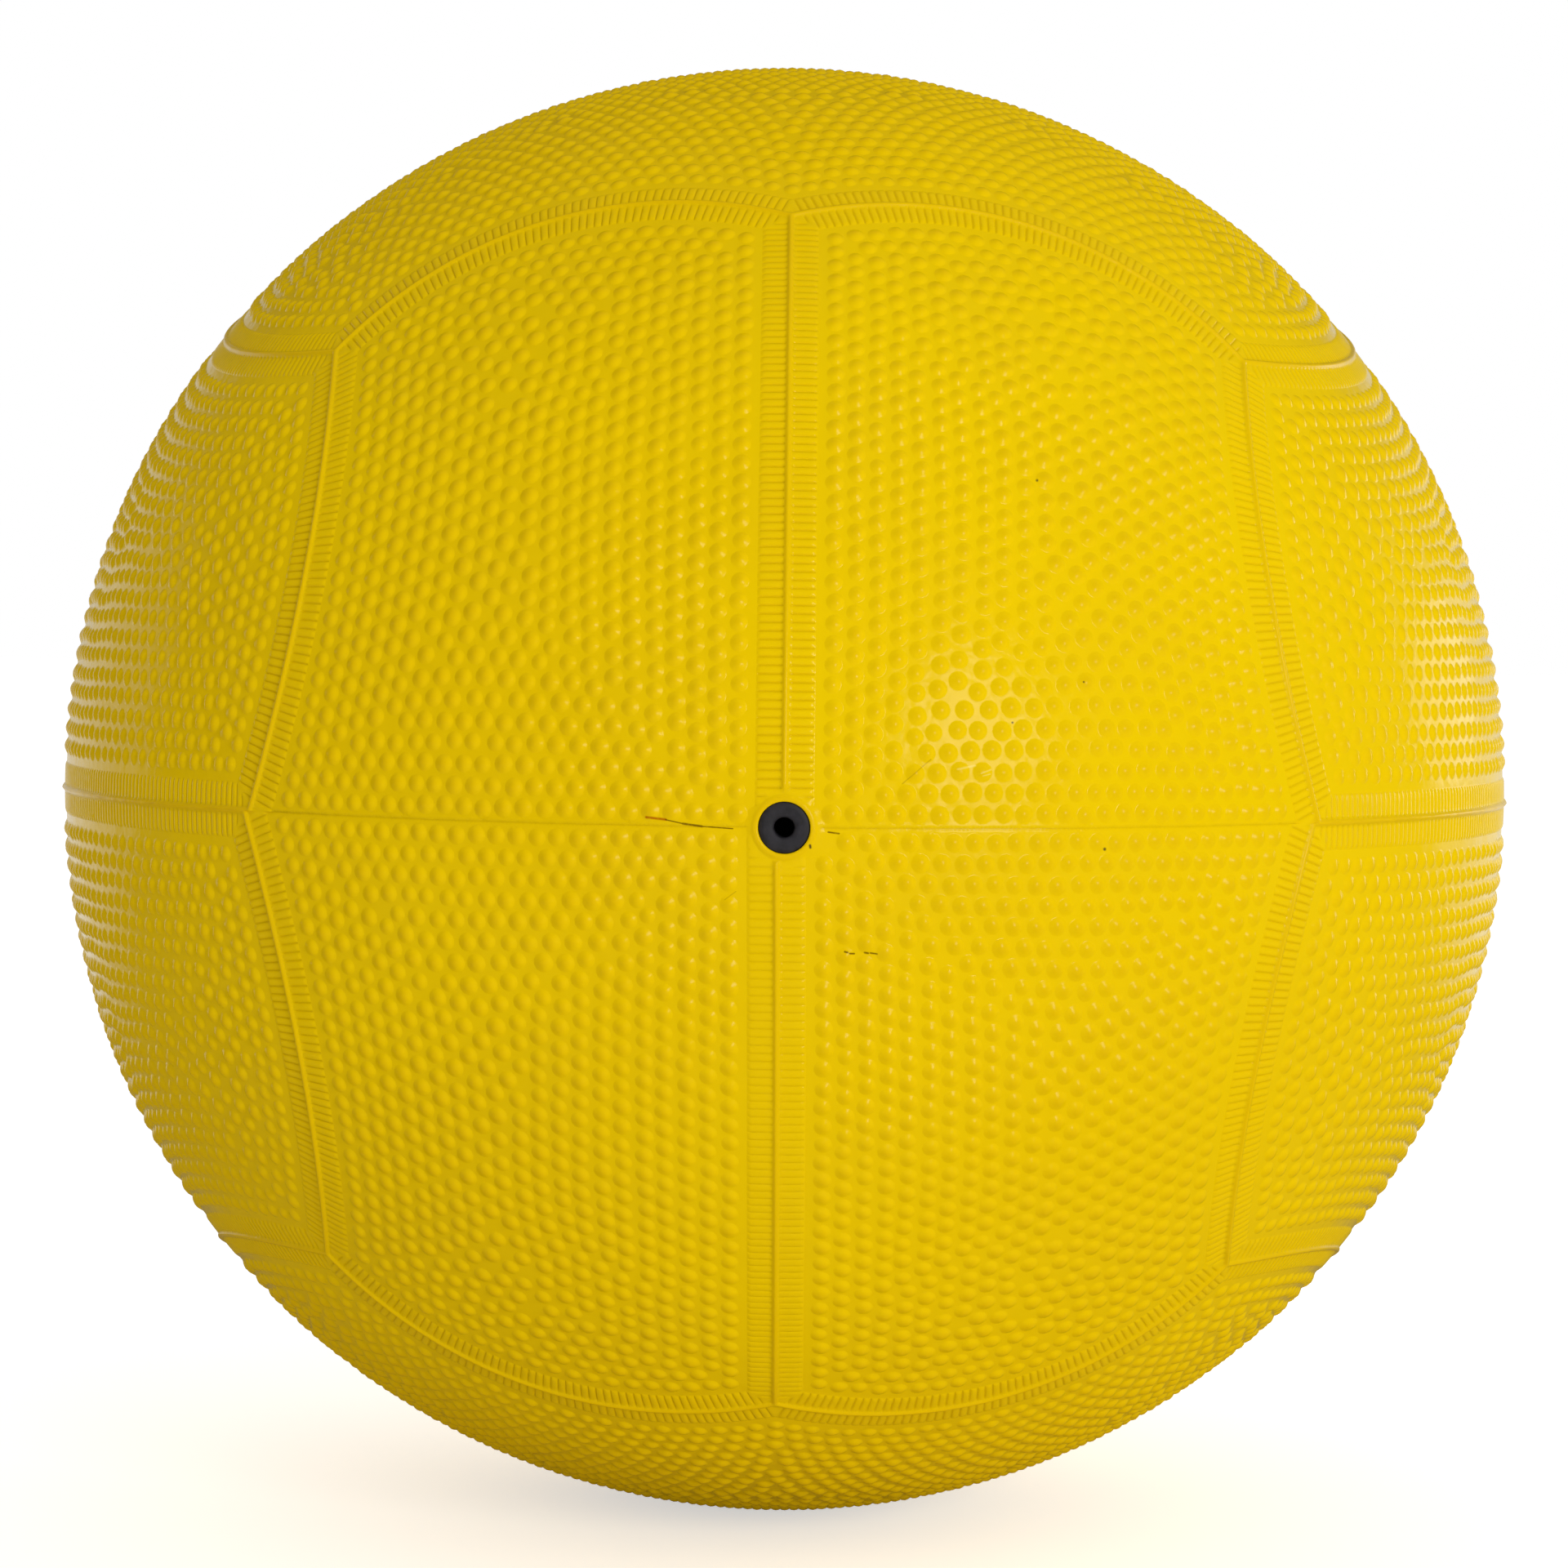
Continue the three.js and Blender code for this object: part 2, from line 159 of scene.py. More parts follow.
# Valve
# Lines of points on the lip: distance from the valve's axis, height
LIP_LINES = ((2.97, -0.12), (3.04, 0.0), (3.18, 0.05), (3.4, 0.03), (3.6, -0.05), (3.74, -0.17), (3.9, -0.2))
LIP_SEGMENTS = 56
LIP_CLEAR = 0.15  # to the nearest point of a seam
LIP_SHADE = 0.3  # painted shade in the groove round the lip
LIP_SHADE_BELOW = -0.15
LOWER_VALVE_AT = 0.917  # how far the lower half's straight seam lies beside the valve
LOWER_RIBS_FROM = 4.5  # how far from the valve's axis the ribs below it start
LOWER_RIB_SHARE = 0.6  # depth of the straight seam's ribs below the valve, against the others
NECK_RADIUS = 4.9  # of the ring on the back of the skin round the valve's neck
NECK_INNER_RADIUS = 94.75  # back of the skin inside that ring
NECK_CLEAR = 1.6  # share of the neck's radius that is kept free of other points on the back
NECK_SLACK = 0.01
BACK_STEP = 7.0  # between points on the back of the skin
PLUG_SEGMENTS = 64
PLUG_ENDS = (80.2, 84.2)  # inner end, and the slit
PLUG_CREASE = math.radians(35)
PLUG_PROFILE = (  # radius, distance from the ball's middle
    (1.9, 80.2), (2.1, 80.4), (2.75, 81.4), (2.9, 81.8), (2.75, 82.2),
    (2.1, 83.4), (2.1, 93.7), (2.8, 93.7), (2.92, 93.82), (2.92, 94.95),
    (2.88, 95.1), (2.75, 95.18), (2.3, 95.2), (1.8, 95.17), (1.45, 95.13),
    (1.28, 95.06), (1.18, 94.93), (1.15, 94.75), (1.15, 85.1), (0.4, 84.5),
)

# Camera, fitted to the seams of the photograph
VIEW_ELEVATION, VIEW_ROLL = 2.634, -0.659  # degrees
VIEW_DISTANCE = 0.5988
LENS, SENSOR_WIDTH = 102.47, 36.0
VIEW_SHIFT = (-0.00034, 0.00318)
CLIP_START = 0.01

# Lamps. Directions are as the camera sees them: to the right, up, and towards it.
LAMP_DISTANCE = 1.25
KEY_TOWARD, KEY_SIZE, KEY_POWER = (0.455, 0.128, 0.88), (0.4, 0.46), 5.95
RIM_TOWARD, RIM_SIZE, RIM_POWER = (0.81, 0.12, -0.57), (0.55, 0.3), 0.7

# Surroundings
AMBIENT = 0.575
AMBIENT_FROM_RIGHT = 0.07  # more from the right and less from the left
AMBIENT_FROM_BEHIND = 0.15
AMBIENT_FROM_ABOVE = 0.06
AMBIENT_LEFT = (1.0, 0.94, 0.88)
WHITE = (1.0, 1.0, 1.0)
GROUND_REACH = 6.0
GROUND_BELOW = 0.0002
GROUND_GREY = (0.92, 0.92, 0.92)
GROUND_SPECKLED = (0.8924, 0.8924, 0.8924)
GROUND_DARK = (0.18, 0.16, 0.11)  # as the ball's gloss sees it, warm with painted yellow bounce light from the ball
GROUND_GLOW = 0.55  # light of its own, for the camera
# What the gloss sees, as limits and values for between(): turns from straight behind, and heights
GLOSS_SQUEEZE = 0.55  # sideways, before the turns are taken
GLOSS_TURN = (0.86, 0.74)
GLOSS_BEHIND = (0.1, 0.36, 0.6, 1.0)
GLOSS_LEVEL = (0.36, 0.16, 0.04, 1.0)


def unit(v):
    return v / np.linalg.norm(v, axis=-1, keepdims=True)


CORNER = unit(np.ones(3))
SEAM_END = np.array([math.cos(CENTRE_SEAM_ANGLE), math.sin(CENTRE_SEAM_ANGLE), 0.0])


def third_turn(v):
    """Turns directions about CORNER: +X to +Y, +Y to +Z and +Z to +X."""
    return v[..., [2, 0, 1]]


class Side:
    """One side of a patch: points along it by arc length, and the direction into the patch."""

    def __init__(self, points, origin, toward):
        self.points = unit(points)
        steps = np.linalg.norm(np.diff(self.points, axis=0), axis=1) * RADIUS
        self.s = np.concatenate([[0.0], np.cumsum(steps)])
        self.s -= np.interp(0.0, (self.points - origin) @ unit(self.points[-1] - self.points[0]), self.s)
        along = np.gradient(self.points, self.s, axis=0)
        self.into = unit(np.cross(along, self.points))
        self.into *= np.sign(self.into[len(self.into) // 2] @ toward)

    def at(self, s, d):
        s, d = np.broadcast_arrays(np.asarray(s, float), np.asarray(d, float))
        p = unit(np.stack([np.interp(s, self.s, self.points[:, i]) for i in range(3)], -1))
        n = unit(np.stack([np.interp(s, self.s, self.into[:, i]) for i in range(3)], -1))
        return unit(np.cos(d / RADIUS)[..., None] * p + np.sin(d / RADIUS)[..., None] * n)

    def distance(self, q):
        """Distance of directions q from this side, positive inside the patch."""
        nearest = np.argmax(q @ self.points[::DISTANCE_STEP].T, axis=1) * DISTANCE_STEP
        return RADIUS * np.arcsin(np.clip(np.sum(q * self.into[nearest], axis=1), -1, 1))

    def s_where(self, value, d, low, high):
        """Arc length at which value(points) crosses zero on the line at distance d."""
        s = np.linspace(low, high, CROSSING_POINTS)
        v = value(self.at(s, d))
        i = np.flatnonzero(np.sign(v[:-1]) != np.sign(v[1:]))[0]
        return s[i] + (s[i + 1] - s[i]) * v[i] / (v[i] - v[i + 1])


def curved_seam(t):
    angle = math.acos(SEAM_END @ CORNER)
    t = t[:, None]
    along = (np.sin((1 - t) * angle) * SEAM_END + np.sin(t * angle) * CORNER) / math.sin(angle)
    aside = unit(np.cross(CORNER, SEAM_END))
    return unit(along + SEAM_BOW / RADIUS * 4 * t * (1 - t) * aside)


# The patch beside +Y in the octant x, y, z > 0, and its sides
turn = np.linspace(-CENTRE_SEAM_ANGLE - SPARE_TURN, CENTRE_SEAM_ANGLE + SPARE_TURN, 2 * SIDE_POINTS - 1)
FACE_MIDDLE = np.array([0.0, 1.0, 0.0])
CENTRE = Side(np.stack([0 * turn, np.cos(turn), np.sin(turn)], -1), FACE_MIDDLE, np.array([1.0, 0.0, 0.0]))
shares = np.linspace(*SPARE_SHARES, SIDE_POINTS)
NEAR = Side(curved_seam(shares), SEAM_END, FACE_MIDDLE)
FAR = Side(third_turn(curved_seam(shares)), third_turn(SEAM_END), FACE_MIDDLE)
PARTING = Side(np.stack([np.sin(turn), np.cos(turn), 0 * turn], -1), FACE_MIDDLE, np.array([0.0, 0.0, 1.0]))

CENTRE_LENGTH = CENTRE_SEAM_ANGLE * RADIUS
CURVED_LENGTH = float(np.interp(0.0, (NEAR.points - CORNER) @ unit(CORNER - SEAM_END), NEAR.s))
by_corner = NEAR.at(CURVED_LENGTH - SHORT_OF_CORNER, 0.0)
ACROSS = unit(by_corner - third_turn(by_corner))  # square to the mitre of the seams at the corner


def ends(side, d):
    """First and last arc length of a seam's strip at distance d, where it is mitred or meets z = 0."""
    if d == 0:
        return 0.0, CENTRE_LENGTH if side is CENTRE else CURVED_LENGTH
    last = None
    if side is not CENTRE:
        low, high = (CURVED_LENGTH + more for more in CORNER_SEARCH)
        last = side.s_where(lambda p: p @ ACROSS, d, low, high)
    if side is NEAR:
        return side.s_where(lambda p: p[:, 2], d, *NEAR_SEARCH), last
    first = FAR.s_where(lambda p: p[:, 0] - math.sin(d / RADIUS), d, *FAR_SEARCH)
    if side is FAR:
        return first, last
    start = FAR.at(first, d)
    return 0.0, RADIUS * math.atan2(start[2], start[1])


def stations(length, shares_of_pitch):
    """Arc lengths of the lines across the ribs, and which share of a rib's pitch each one is at."""
    count = round(length / RIB_PITCH)
    pitch = length / count
    share = np.tile(shares_of_pitch, count + 3)
    s = (np.repeat(np.arange(-1, count + 2) + 0.5, len(shares_of_pitch)) + share) * pitch
    return s, share


def seam_points():
    """Points of the patch's three seams. Columns: direction, height of the ribs' tops, depth of the groove,
    which seam, which line beside it, and arc length."""
    rows = []
    lines = [(d, RIDGE_STATIONS) for d in RIDGE_LINES]
    lines += [(d, BAND_STATIONS) for d in BAND_LINES] + [(FOOT_LINE, RIDGE_STATIONS)]
    seams = ((CENTRE, CENTRE_LENGTH), (FAR, CURVED_LENGTH), (NEAR, CURVED_LENGTH))
    for seam, (side, length) in enumerate(seams):
        for line, (d, shares_of_pitch) in enumerate(lines):
            first, last = ends(side, d)
            s, share = stations(length, shares_of_pitch)
            kept = (s > first + MITRE_GAP) & (s < last - MITRE_GAP)
            s, share = s[kept], share[kept]
            groove = np.interp(np.minimum(share, 1 - share), *zip(*GROOVE_ACROSS))
            groove *= np.clip((np.minimum(s - first, last - s) - MITRE_GAP) / MITRE_FADE, 0, 1)
            own_ends = [first, last] if side is FAR else [first]
            s, groove = np.append(s, own_ends), np.append(groove, [0.0] * len(own_ends))
            where = side.at(s, d)
            if side is FAR:
                where[-1] = unit(where[-1] - (where[-1] @ ACROSS) * ACROSS)
            else:
                where[-1] = unit(where[-1] * (1, 1, 0))
            if d == 0:
                where[:, 0] *= side is not CENTRE
            top = np.full(len(s), np.interp(d, *zip(*SECTION)))
            depth = GROOVE_DEPTH * np.interp(d, *zip(*GROOVE_ALONG)) * groove
            numbers = [top, depth, np.full(len(s), seam), np.full(len(s), line), s]
            rows.append(np.column_stack([where] + numbers))
    return np.concatenate(rows)


SEAMS = seam_points()
SEAM_AT = SEAMS[:, :3]
SEAM_TOP, SEAM_GROOVE, SEAM_NUMBER, SEAM_LINE, SEAM_S = SEAMS[:, 3:].T


def wave(x, *parts):
    """A smooth irregular wave from -1 to 1. Each part is how fast it turns and where it starts."""
    return sum(np.sin(x * fast + start) for fast, start in parts) / len(parts)


# Places of the pebbles


def gaps_between(points):
    """Distances over the ball between all pairs of directions."""
    gaps = np.arccos(np.clip(points @ points.T, -1, 1)) * RADIUS
    np.fill_diagonal(gaps, ITSELF)
    return gaps


def settle(points, level, iterations):
    """Lets pebbles push each other apart. The outer rows hardly move."""
    freedom = np.clip((level / ROW_PITCH - FIXED_ROWS) / FREEING_ROWS, 0, 1)[:, None]
    for i in range(iterations):
        if i % NEIGHBOURS_LAST == 0:
            gaps = gaps_between(points)
            close = np.argpartition(gaps, NEIGHBOURS, axis=1)[:, :NEIGHBOURS]
        away = points[:, None, :] - points[close]
        gap = np.linalg.norm(away, axis=2) * RADIUS
        push = np.clip(1 - gap / SETTLE_REACH, 0, 1)[..., None] * away
        push = push / np.maximum(gap, LEAST_GAP)[..., None] * RADIUS
        points = unit(points + SETTLE_SHARE * freedom * push.sum(axis=1) * SETTLE_REACH / RADIUS)
    return points


MIRROR = np.array([1.0, 1.0, -1.0])


def pebble_places(whole, seed):
    """Centres and radii of the pebbles of a whole panel, or of the half beside the parting line: rows that
    follow its sides, settled towards the middle."""
    rng = np.random.default_rng(seed)
    sides = [(CENTRE, FIRST_ROW), (FAR, FIRST_ROW), (NEAR, FIRST_ROW)]
    sides += [] if whole else [(PARTING, FIRST_ROW_AT_PARTING)]

    def level(q):
        if whole:
            q = q * [1, 1, 0] + np.abs(q) * [0, 0, 1]
        return np.min([side.distance(q) - first for side, first in sides], axis=0)

    rows = []
    for side, first in sides:
        low, high = 0.0, ROW_PAST_END * side.s[-1]
        if whole and side is CENTRE:
            low, high = -CENTRE_LENGTH, CENTRE_LENGTH
        s = np.linspace(low, high, ROW_POINTS)
        q = side.at(s, first)
        inside = level(q) > -END_SLACK
        start, stop = s[inside][0], s[inside][-1]
        length = RADIUS * np.linalg.norm(np.diff(q[inside], axis=0), axis=1).sum()
        rows.append((side, first, start, (stop - start) / round(length / PEBBLE_PITCH)))

    placed = np.zeros((0, 3))
    for row in range(MOST_ROWS):
        fresh = []
        for side, first, start, pitch in rows:
            s = start + (np.arange(*ROW_NUMBERS) + 0.5 * (row % 2)) * pitch
            q = side.at(s[(s > side.s[0]) & (s < side.s[-1])], first + row * ROW_PITCH)
            q = q[level(q) > row * ROW_PITCH - ROW_SLACK]
            fresh += [q, q * MIRROR] if whole and side is not CENTRE else [q]
        fresh = np.concatenate(fresh)
        if not len(fresh):
            break
        for q in fresh:
            if not len(placed) or np.max(placed @ q) < math.cos(PLACED_APART * PEBBLE_PITCH / RADIUS):
                placed = np.vstack([placed, q])
    placed = settle(placed, level(placed), SETTLE_FIRST)
    for _ in range(FILLS):
        near = placed[rng.integers(len(placed), size=FILL_TRIALS)]
        trial = unit(near + rng.normal(size=(FILL_TRIALS, 3)) * FILL_REACH / RADIUS)
        trial = trial[level(trial) > FILL_FROM * ROW_PITCH]
        free = np.arccos(np.clip(np.max(trial @ placed.T, axis=1), -1, 1)) * RADIUS
        for i in np.argsort(-free)[:FILL_BEST]:
            if math.acos(min(1.0, np.max(placed @ trial[i]))) * RADIUS > FILLED_APART * PEBBLE_PITCH:
                placed = np.vstack([placed, trial[i]])
        placed = settle(placed, level(placed), SETTLE_AFTER_FILL)
    placed = unit(placed + rng.normal(size=placed.shape) * PEBBLE_SCATTER / RADIUS)
    gaps = gaps_between(placed)
    kept = np.ones(len(placed), bool)
    for i in np.argsort(gaps.min(axis=1)):
        if gaps[i][kept].min() < LEFT_APART * PEBBLE_PITCH:
            kept[i] = False
    placed, gaps = placed[kept], gaps[kept][:, kept]
    radius = PEBBLE_RADIUS * (1 + RADIUS_SCATTER * rng.normal(size=len(placed)))
    radius = np.minimum(radius, gaps.min(axis=1) / 2 - PEBBLE_GAP)
    return placed, np.minimum(radius, level(placed) + PEBBLE_RADIUS + EDGE_GAP)


# Skin of a panel

FLAT, SEAM, PEBBLE = 0, 1, 2  # kinds of point
INSIDE_LOOP = 1  # the triangles that Blender's function is asked for


class Skin:
    """Points of one piece of the skin, gathered before they are joined into triangles. lean is the way that
    the surface faces at a point."""

    def __init__(self):
        self.columns = []
        self.count = 0
        self.edges = []

    # the last argument is how much painted shade a point gets in creases, from 0 to 1
    def add(self, where, height, kind, lean=None, groove=0.0, seam=0, crest=False, dirt=0.0):
        n = len(where)
        numbers = [np.broadcast_to(value, n) for value in (height, kind, groove, seam, crest, dirt)]
        self.columns.append(np.column_stack([where, where if lean is None else lean] + numbers))
        self.count += n
        return np.arange(self.count - n, self.count)

    def close(self, loop, behind, back_height):
        """Joins the points into triangles inside the loop, and adds the back of the skin and its rim. behind
        holds directions of points on the back, and back_height gives how far out each of them lies."""
        table = np.concatenate(self.columns)
        self.where, self.lean = table[:, :3], table[:, 3:6]
        self.height, self.kind, self.groove, self.seam, self.crest, self.dirt = table[:, 6:].T
        self.kind, self.seam, self.crest = self.kind.astype(int), self.seam.astype(int), self.crest > 0
        self.loop = np.array(loop)
        self.front = triangles(self.where, self.loop, self.edges)
        self.back = np.concatenate([self.where[self.loop], behind])
        self.back_height = back_height(self.back)
        n = len(self.loop)
        self.behind = triangles(self.back, np.arange(n), [])[:, ::-1]
        here, after = np.arange(n), np.roll(np.arange(n), -1)
        first = np.column_stack([self.loop[here], here + self.count, after + self.count])
        second = np.column_stack([self.loop[here], after + self.count, self.loop[after]])
        self.rim = np.concatenate([first, second])


def square_to(direction, aside):
    """Two directions square to the given ones and to each other."""
    across = unit(np.cross(direction, aside))
    return across, np.cross(direction, across)


def triangles(where, loop, edges):
    """Delaunay triangles of directions inside a loop that runs anticlockwise seen from outside."""
    middle = unit(where.mean(axis=0))
    across, up = square_to(middle, [0.31, 0.22, 0.93])
    flat = np.stack([where @ across, where @ up], -1) / (1 + where @ middle)[:, None]
    edges = np.concatenate(edges).tolist() if len(edges) else []
    points = [Vector(p) for p in flat.tolist()]
    joined = delaunay_2d_cdt(points, edges, [loop.tolist()], INSIDE_LOOP, TINY)
    if len(joined[0]) != len(where):
        raise ValueError("two points of the skin are in one place")
    source = np.array([ids[0] for ids in joined[3]])
    faces = source[np.array([list(face) for face in joined[2]])]
    corners = flat[faces]
    first, second = corners[:, 1] - corners[:, 0], corners[:, 2] - corners[:, 0]
    wrong = first[:, 0] * second[:, 1] < first[:, 1] * second[:, 0]
    faces[wrong] = faces[wrong][:, ::-1]
    return faces


def add_pebbles(skin, centres, radii):
    """Round caps: a middle point and rings of points, the last of them at the foot."""
    n = len(centres)
    across, up = square_to(centres, [0.3, 0.2, 0.93])
    height = PEBBLE_HEIGHT * (radii / PEBBLE_RADIUS) ** LOWER_WHEN_SMALL
    skin.add(centres, FLOOR + height, PEBBLE)
    for share, points in PEBBLE_RINGS:
        angle = np.arange(points) * 2 * math.pi / points + (np.arange(n) * RING_TURN)[:, None]
        r = (share * radii)[:, None]
        out = np.cos(angle)[..., None] * across[:, None] + np.sin(angle)[..., None] * up[:, None]
        where = unit(centres[:, None] + out * (r / RADIUS)[..., None])
        left = max(1 - share**2, FOOT_LEFT)
        steep = 2 * PEBBLE_SHAPE * share * left ** (PEBBLE_SHAPE - 1) * height / radii
        lean = unit(centres[:, None] + steep[:, None, None] * out)
        rise = np.broadcast_to((height * left**PEBBLE_SHAPE)[:, None] * (share < 1), angle.shape)
        kind = FLAT if share == 1 else PEBBLE
        at = skin.add(where.reshape(-1, 3), FLOOR + rise.ravel(), kind, lean.reshape(-1, 3))
    ring = at.reshape(n, points)
    skin.edges.append(np.column_stack([ring.ravel(), np.roll(ring, -1, axis=1).ravel()]))


def valve_centre(valve_at):
    return np.array([math.sin(valve_at / RADIUS), math.cos(valve_at / RADIUS), 0.0])


def circle_points(valve_at, radius):
    """Directions of points round the valve's axis, where x and z are positive."""
    centre = valve_centre(valve_at)
    aside = np.array([centre[1], -centre[0], 0.0])
    last = math.acos(-math.tan(valve_at / RADIUS) / math.tan(radius / RADIUS))
    angle = np.linspace(0, last, round(last / (2 * math.pi) * LIP_SEGMENTS) + 1)[:, None]
    out = np.cos(angle) * aside + np.sin(angle) * np.array([0.0, 0.0, 1.0])
    where = math.cos(radius / RADIUS) * centre + math.sin(radius / RADIUS) * out
    where[0, 2] = 0.0
    where[-1, 0] = 0.0
    return unit(where)


def add_bead(skin, start, stop):
    """The fin along the parting line, between two turns about the upright axis. Gives the row at z = 0."""
    count = round((stop - start) * RADIUS / BEAD_STEP)
    rows = []
    for line, (up, height) in enumerate(BEAD_LINES):
        turns = np.linspace(start, stop, count + 1)[1:-1] + (line % 2) * BEAD_STEP / 2 / RADIUS
        where = np.stack([np.sin(turns), np.cos(turns), np.full(len(turns), up / RADIUS)], -1)
        # the line below the floor lies in the crease and gets painted shade
        ids = skin.add(unit(where), FLOOR + height, SEAM, dirt=float(height < 0))
        rows.append((ids, turns * RADIUS, np.full(len(ids), height)))
    skin.bead = tuple(np.concatenate(column) for column in zip(*rows))
    return rows[0][0].tolist()


def back_points(centres, valve_at):
    """Directions of points on the back of a skin, with a ring round the valve's neck if it has one."""
    behind = np.zeros((0, 3))
    for q in centres:
        if not len(behind) or np.max(behind @ q) < math.cos(BACK_STEP / RADIUS):
            behind = np.vstack([behind, q])
    if valve_at is not None:
        behind = behind[behind @ valve_centre(valve_at) < math.cos(NECK_CLEAR * NECK_RADIUS / RADIUS)]
        behind = np.vstack([behind, circle_points(valve_at, NECK_RADIUS)[1:-1]])
    return behind


def skin_of(whole, seed, valve_at=None):
    """The skin of a whole panel, or of the half of one beside the parting line, in the place of the patch
    beside +Y. valve_at is how far over the ball the valve's axis lies from this patch's straight seam."""
    skin = Skin()
    lip_out = LIP_LINES[-1][0]
    clear = np.zeros(len(SEAMS), bool)
    groove = SEAM_GROOVE.copy()
    lip_rings = []
    centre = FACE_MIDDLE if valve_at is None else valve_centre(valve_at)
    if valve_at is not None:
        for r, height in LIP_LINES:
            # the lines low in the groove round the lip get painted shade
            dirt = LIP_SHADE if height < LIP_SHADE_BELOW else 0.0
            lip_rings.append(skin.add(circle_points(valve_at, r), height, SEAM, dirt=dirt))
        from_valve = RADIUS * np.arccos(np.clip(SEAM_AT @ centre, -1, 1))
        clear = from_valve < lip_out + LIP_CLEAR
        groove *= np.clip((from_valve - (LOWER_RIBS_FROM if valve_at else lip_out)) / MITRE_FADE, 0, 1)
    at_foot = SEAM_LINE == SEAM_LINE.max()
    rows = {}
    for sign in (1, -1) if whole else (1,):
        kept = ~clear & ((sign > 0) | (SEAM_AT[:, 2] > TINY))
        rows[sign] = np.full(len(SEAMS), -1)
        for kind in (SEAM, FLAT):
            some = np.flatnonzero(kept & (at_foot == (kind == FLAT)))
            where = SEAM_AT[some] * (MIRROR if sign < 0 else 1)
            crest = SEAM_LINE[some] == 0
            # painted shade along the foot of the ridge
            dirt = RIDGE_FOOT_SHADE * (SEAM_LINE[some] == len(RIDGE_LINES))
            rows[sign][some] = skin.add(
                where, SEAM_TOP[some], kind, None, groove[some], SEAM_NUMBER[some], crest, dirt
            )

    def along(sign, seam):
        some = np.flatnonzero((SEAM_NUMBER == seam) & (SEAM_LINE == 0) & (rows[sign] >= 0))
        return rows[sign][some[np.argsort(SEAM_S[some])]].tolist()

    skin.bead = (np.zeros(0, int), np.zeros(0), np.zeros(0))
    if whole:
        loop = along(-1, 0)[::-1] + along(1, 0) + along(1, 1)
        loop += along(1, 2)[::-1] + along(-1, 2) + along(-1, 1)[::-1]
    else:
        level = np.flatnonzero((np.abs(SEAM_AT[:, 2]) < TINY) & (rows[1] >= 0))
        turns = np.arctan2(SEAM_AT[level, 0], SEAM_AT[level, 1])
        level, turns = level[np.argsort(turns)], np.sort(turns)
        middle = CENTRE_LENGTH / 2 / RADIUS
        start = turns[turns < middle].max(initial=0.0)
        if valve_at is not None:
            start = max(start, (valve_at + lip_out) / RADIUS)
        bead = add_bead(skin, start, turns[turns > middle].min())
        low, high = rows[1][level[turns < middle]].tolist(), rows[1][level[turns > middle]].tolist()
        loop = [ring[-1] for ring in lip_rings] + along(1, 0)[0 if lip_rings else 1 :]
        loop += along(1, 1) + along(1, 2)[::-1] + high[::-1][1:] + bead[::-1] + low[::-1]
        if lip_rings:
            loop += [ring[0] for ring in lip_rings][::-1] + lip_rings[0].tolist()[1:-1]
    centres, radii = pebble_sets[whole, seed]
    if valve_at is not None:
        room = RADIUS * np.arccos(np.clip(centres @ centre, -1, 1)) - lip_out - EDGE_GAP
        radii = np.minimum(radii, room)
        centres, radii = centres[radii > LEAST_RADIUS], radii[radii > LEAST_RADIUS]
    add_pebbles(skin, centres, radii)

    def back_height(q):
        near = q @ centre > math.cos((NECK_RADIUS + NECK_SLACK) / RADIUS)
        return np.where(near & (valve_at is not None), NECK_INNER_RADIUS, INNER_RADIUS)

    skin.close(loop, back_points(centres, valve_at), back_height)
    return skin


def corner_normals(skin, outer):
    """A normal for each corner of the front: round on a pebble, square to the ball on the floor between
    pebbles, and smoothed over the seams, so each of them ends in a crisp line."""
    faces = skin.front
    kinds = skin.kind[faces]
    on_pebble = (kinds == PEBBLE).any(axis=1)
    on_seam = (kinds == SEAM).any(axis=1) & ~on_pebble
    corners = outer[faces]
    flat = np.cross(corners[:, 1] - corners[:, 0], corners[:, 2] - corners[:, 0])
    smooth = np.zeros_like(outer)
    for i in range(3):
        np.add.at(smooth, faces[on_seam, i], flat[on_seam])
    for axis in (2, 0):
        smooth[skin.loop[np.abs(skin.where[skin.loop, axis]) < TINY], axis] = 0
    smooth[skin.crest] = skin.where[skin.crest]
    smooth = smooth / np.maximum(np.linalg.norm(smooth, axis=1, keepdims=True), TINY)
    normals = skin.where[faces]
    normals[on_pebble] = skin.lean[faces[on_pebble]]
    normals[on_seam] = smooth[faces[on_seam]]
    return normals


def add_mesh(name, points, faces, normals, node, material):
    """A visible piece that stands for a CAD node."""
    mesh = bpy.data.meshes.new(name)
    mesh.vertices.add(len(points))
    mesh.vertices.foreach_set("co", (points * MM).astype(np.float32).ravel())
    mesh.loops.add(faces.size)
    mesh.loops.foreach_set("vertex_index", faces.astype(np.int32).ravel())
    mesh.polygons.add(len(faces))
    mesh.polygons.foreach_set("loop_start", np.arange(len(faces), dtype=np.int32) * 3)
    mesh.polygons.foreach_set("use_smooth", np.ones(len(faces), bool))
    mesh.update(calc_edges=True)
    if normals is not None:
        mesh.normals_split_custom_set(normals.reshape(-1, 3).tolist())
    mesh.materials.append(material)
    piece = bpy.data.objects.new(name, mesh)
    bpy.context.scene.collection.objects.link(piece)
    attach(piece, "root")
    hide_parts(node)
    return piece


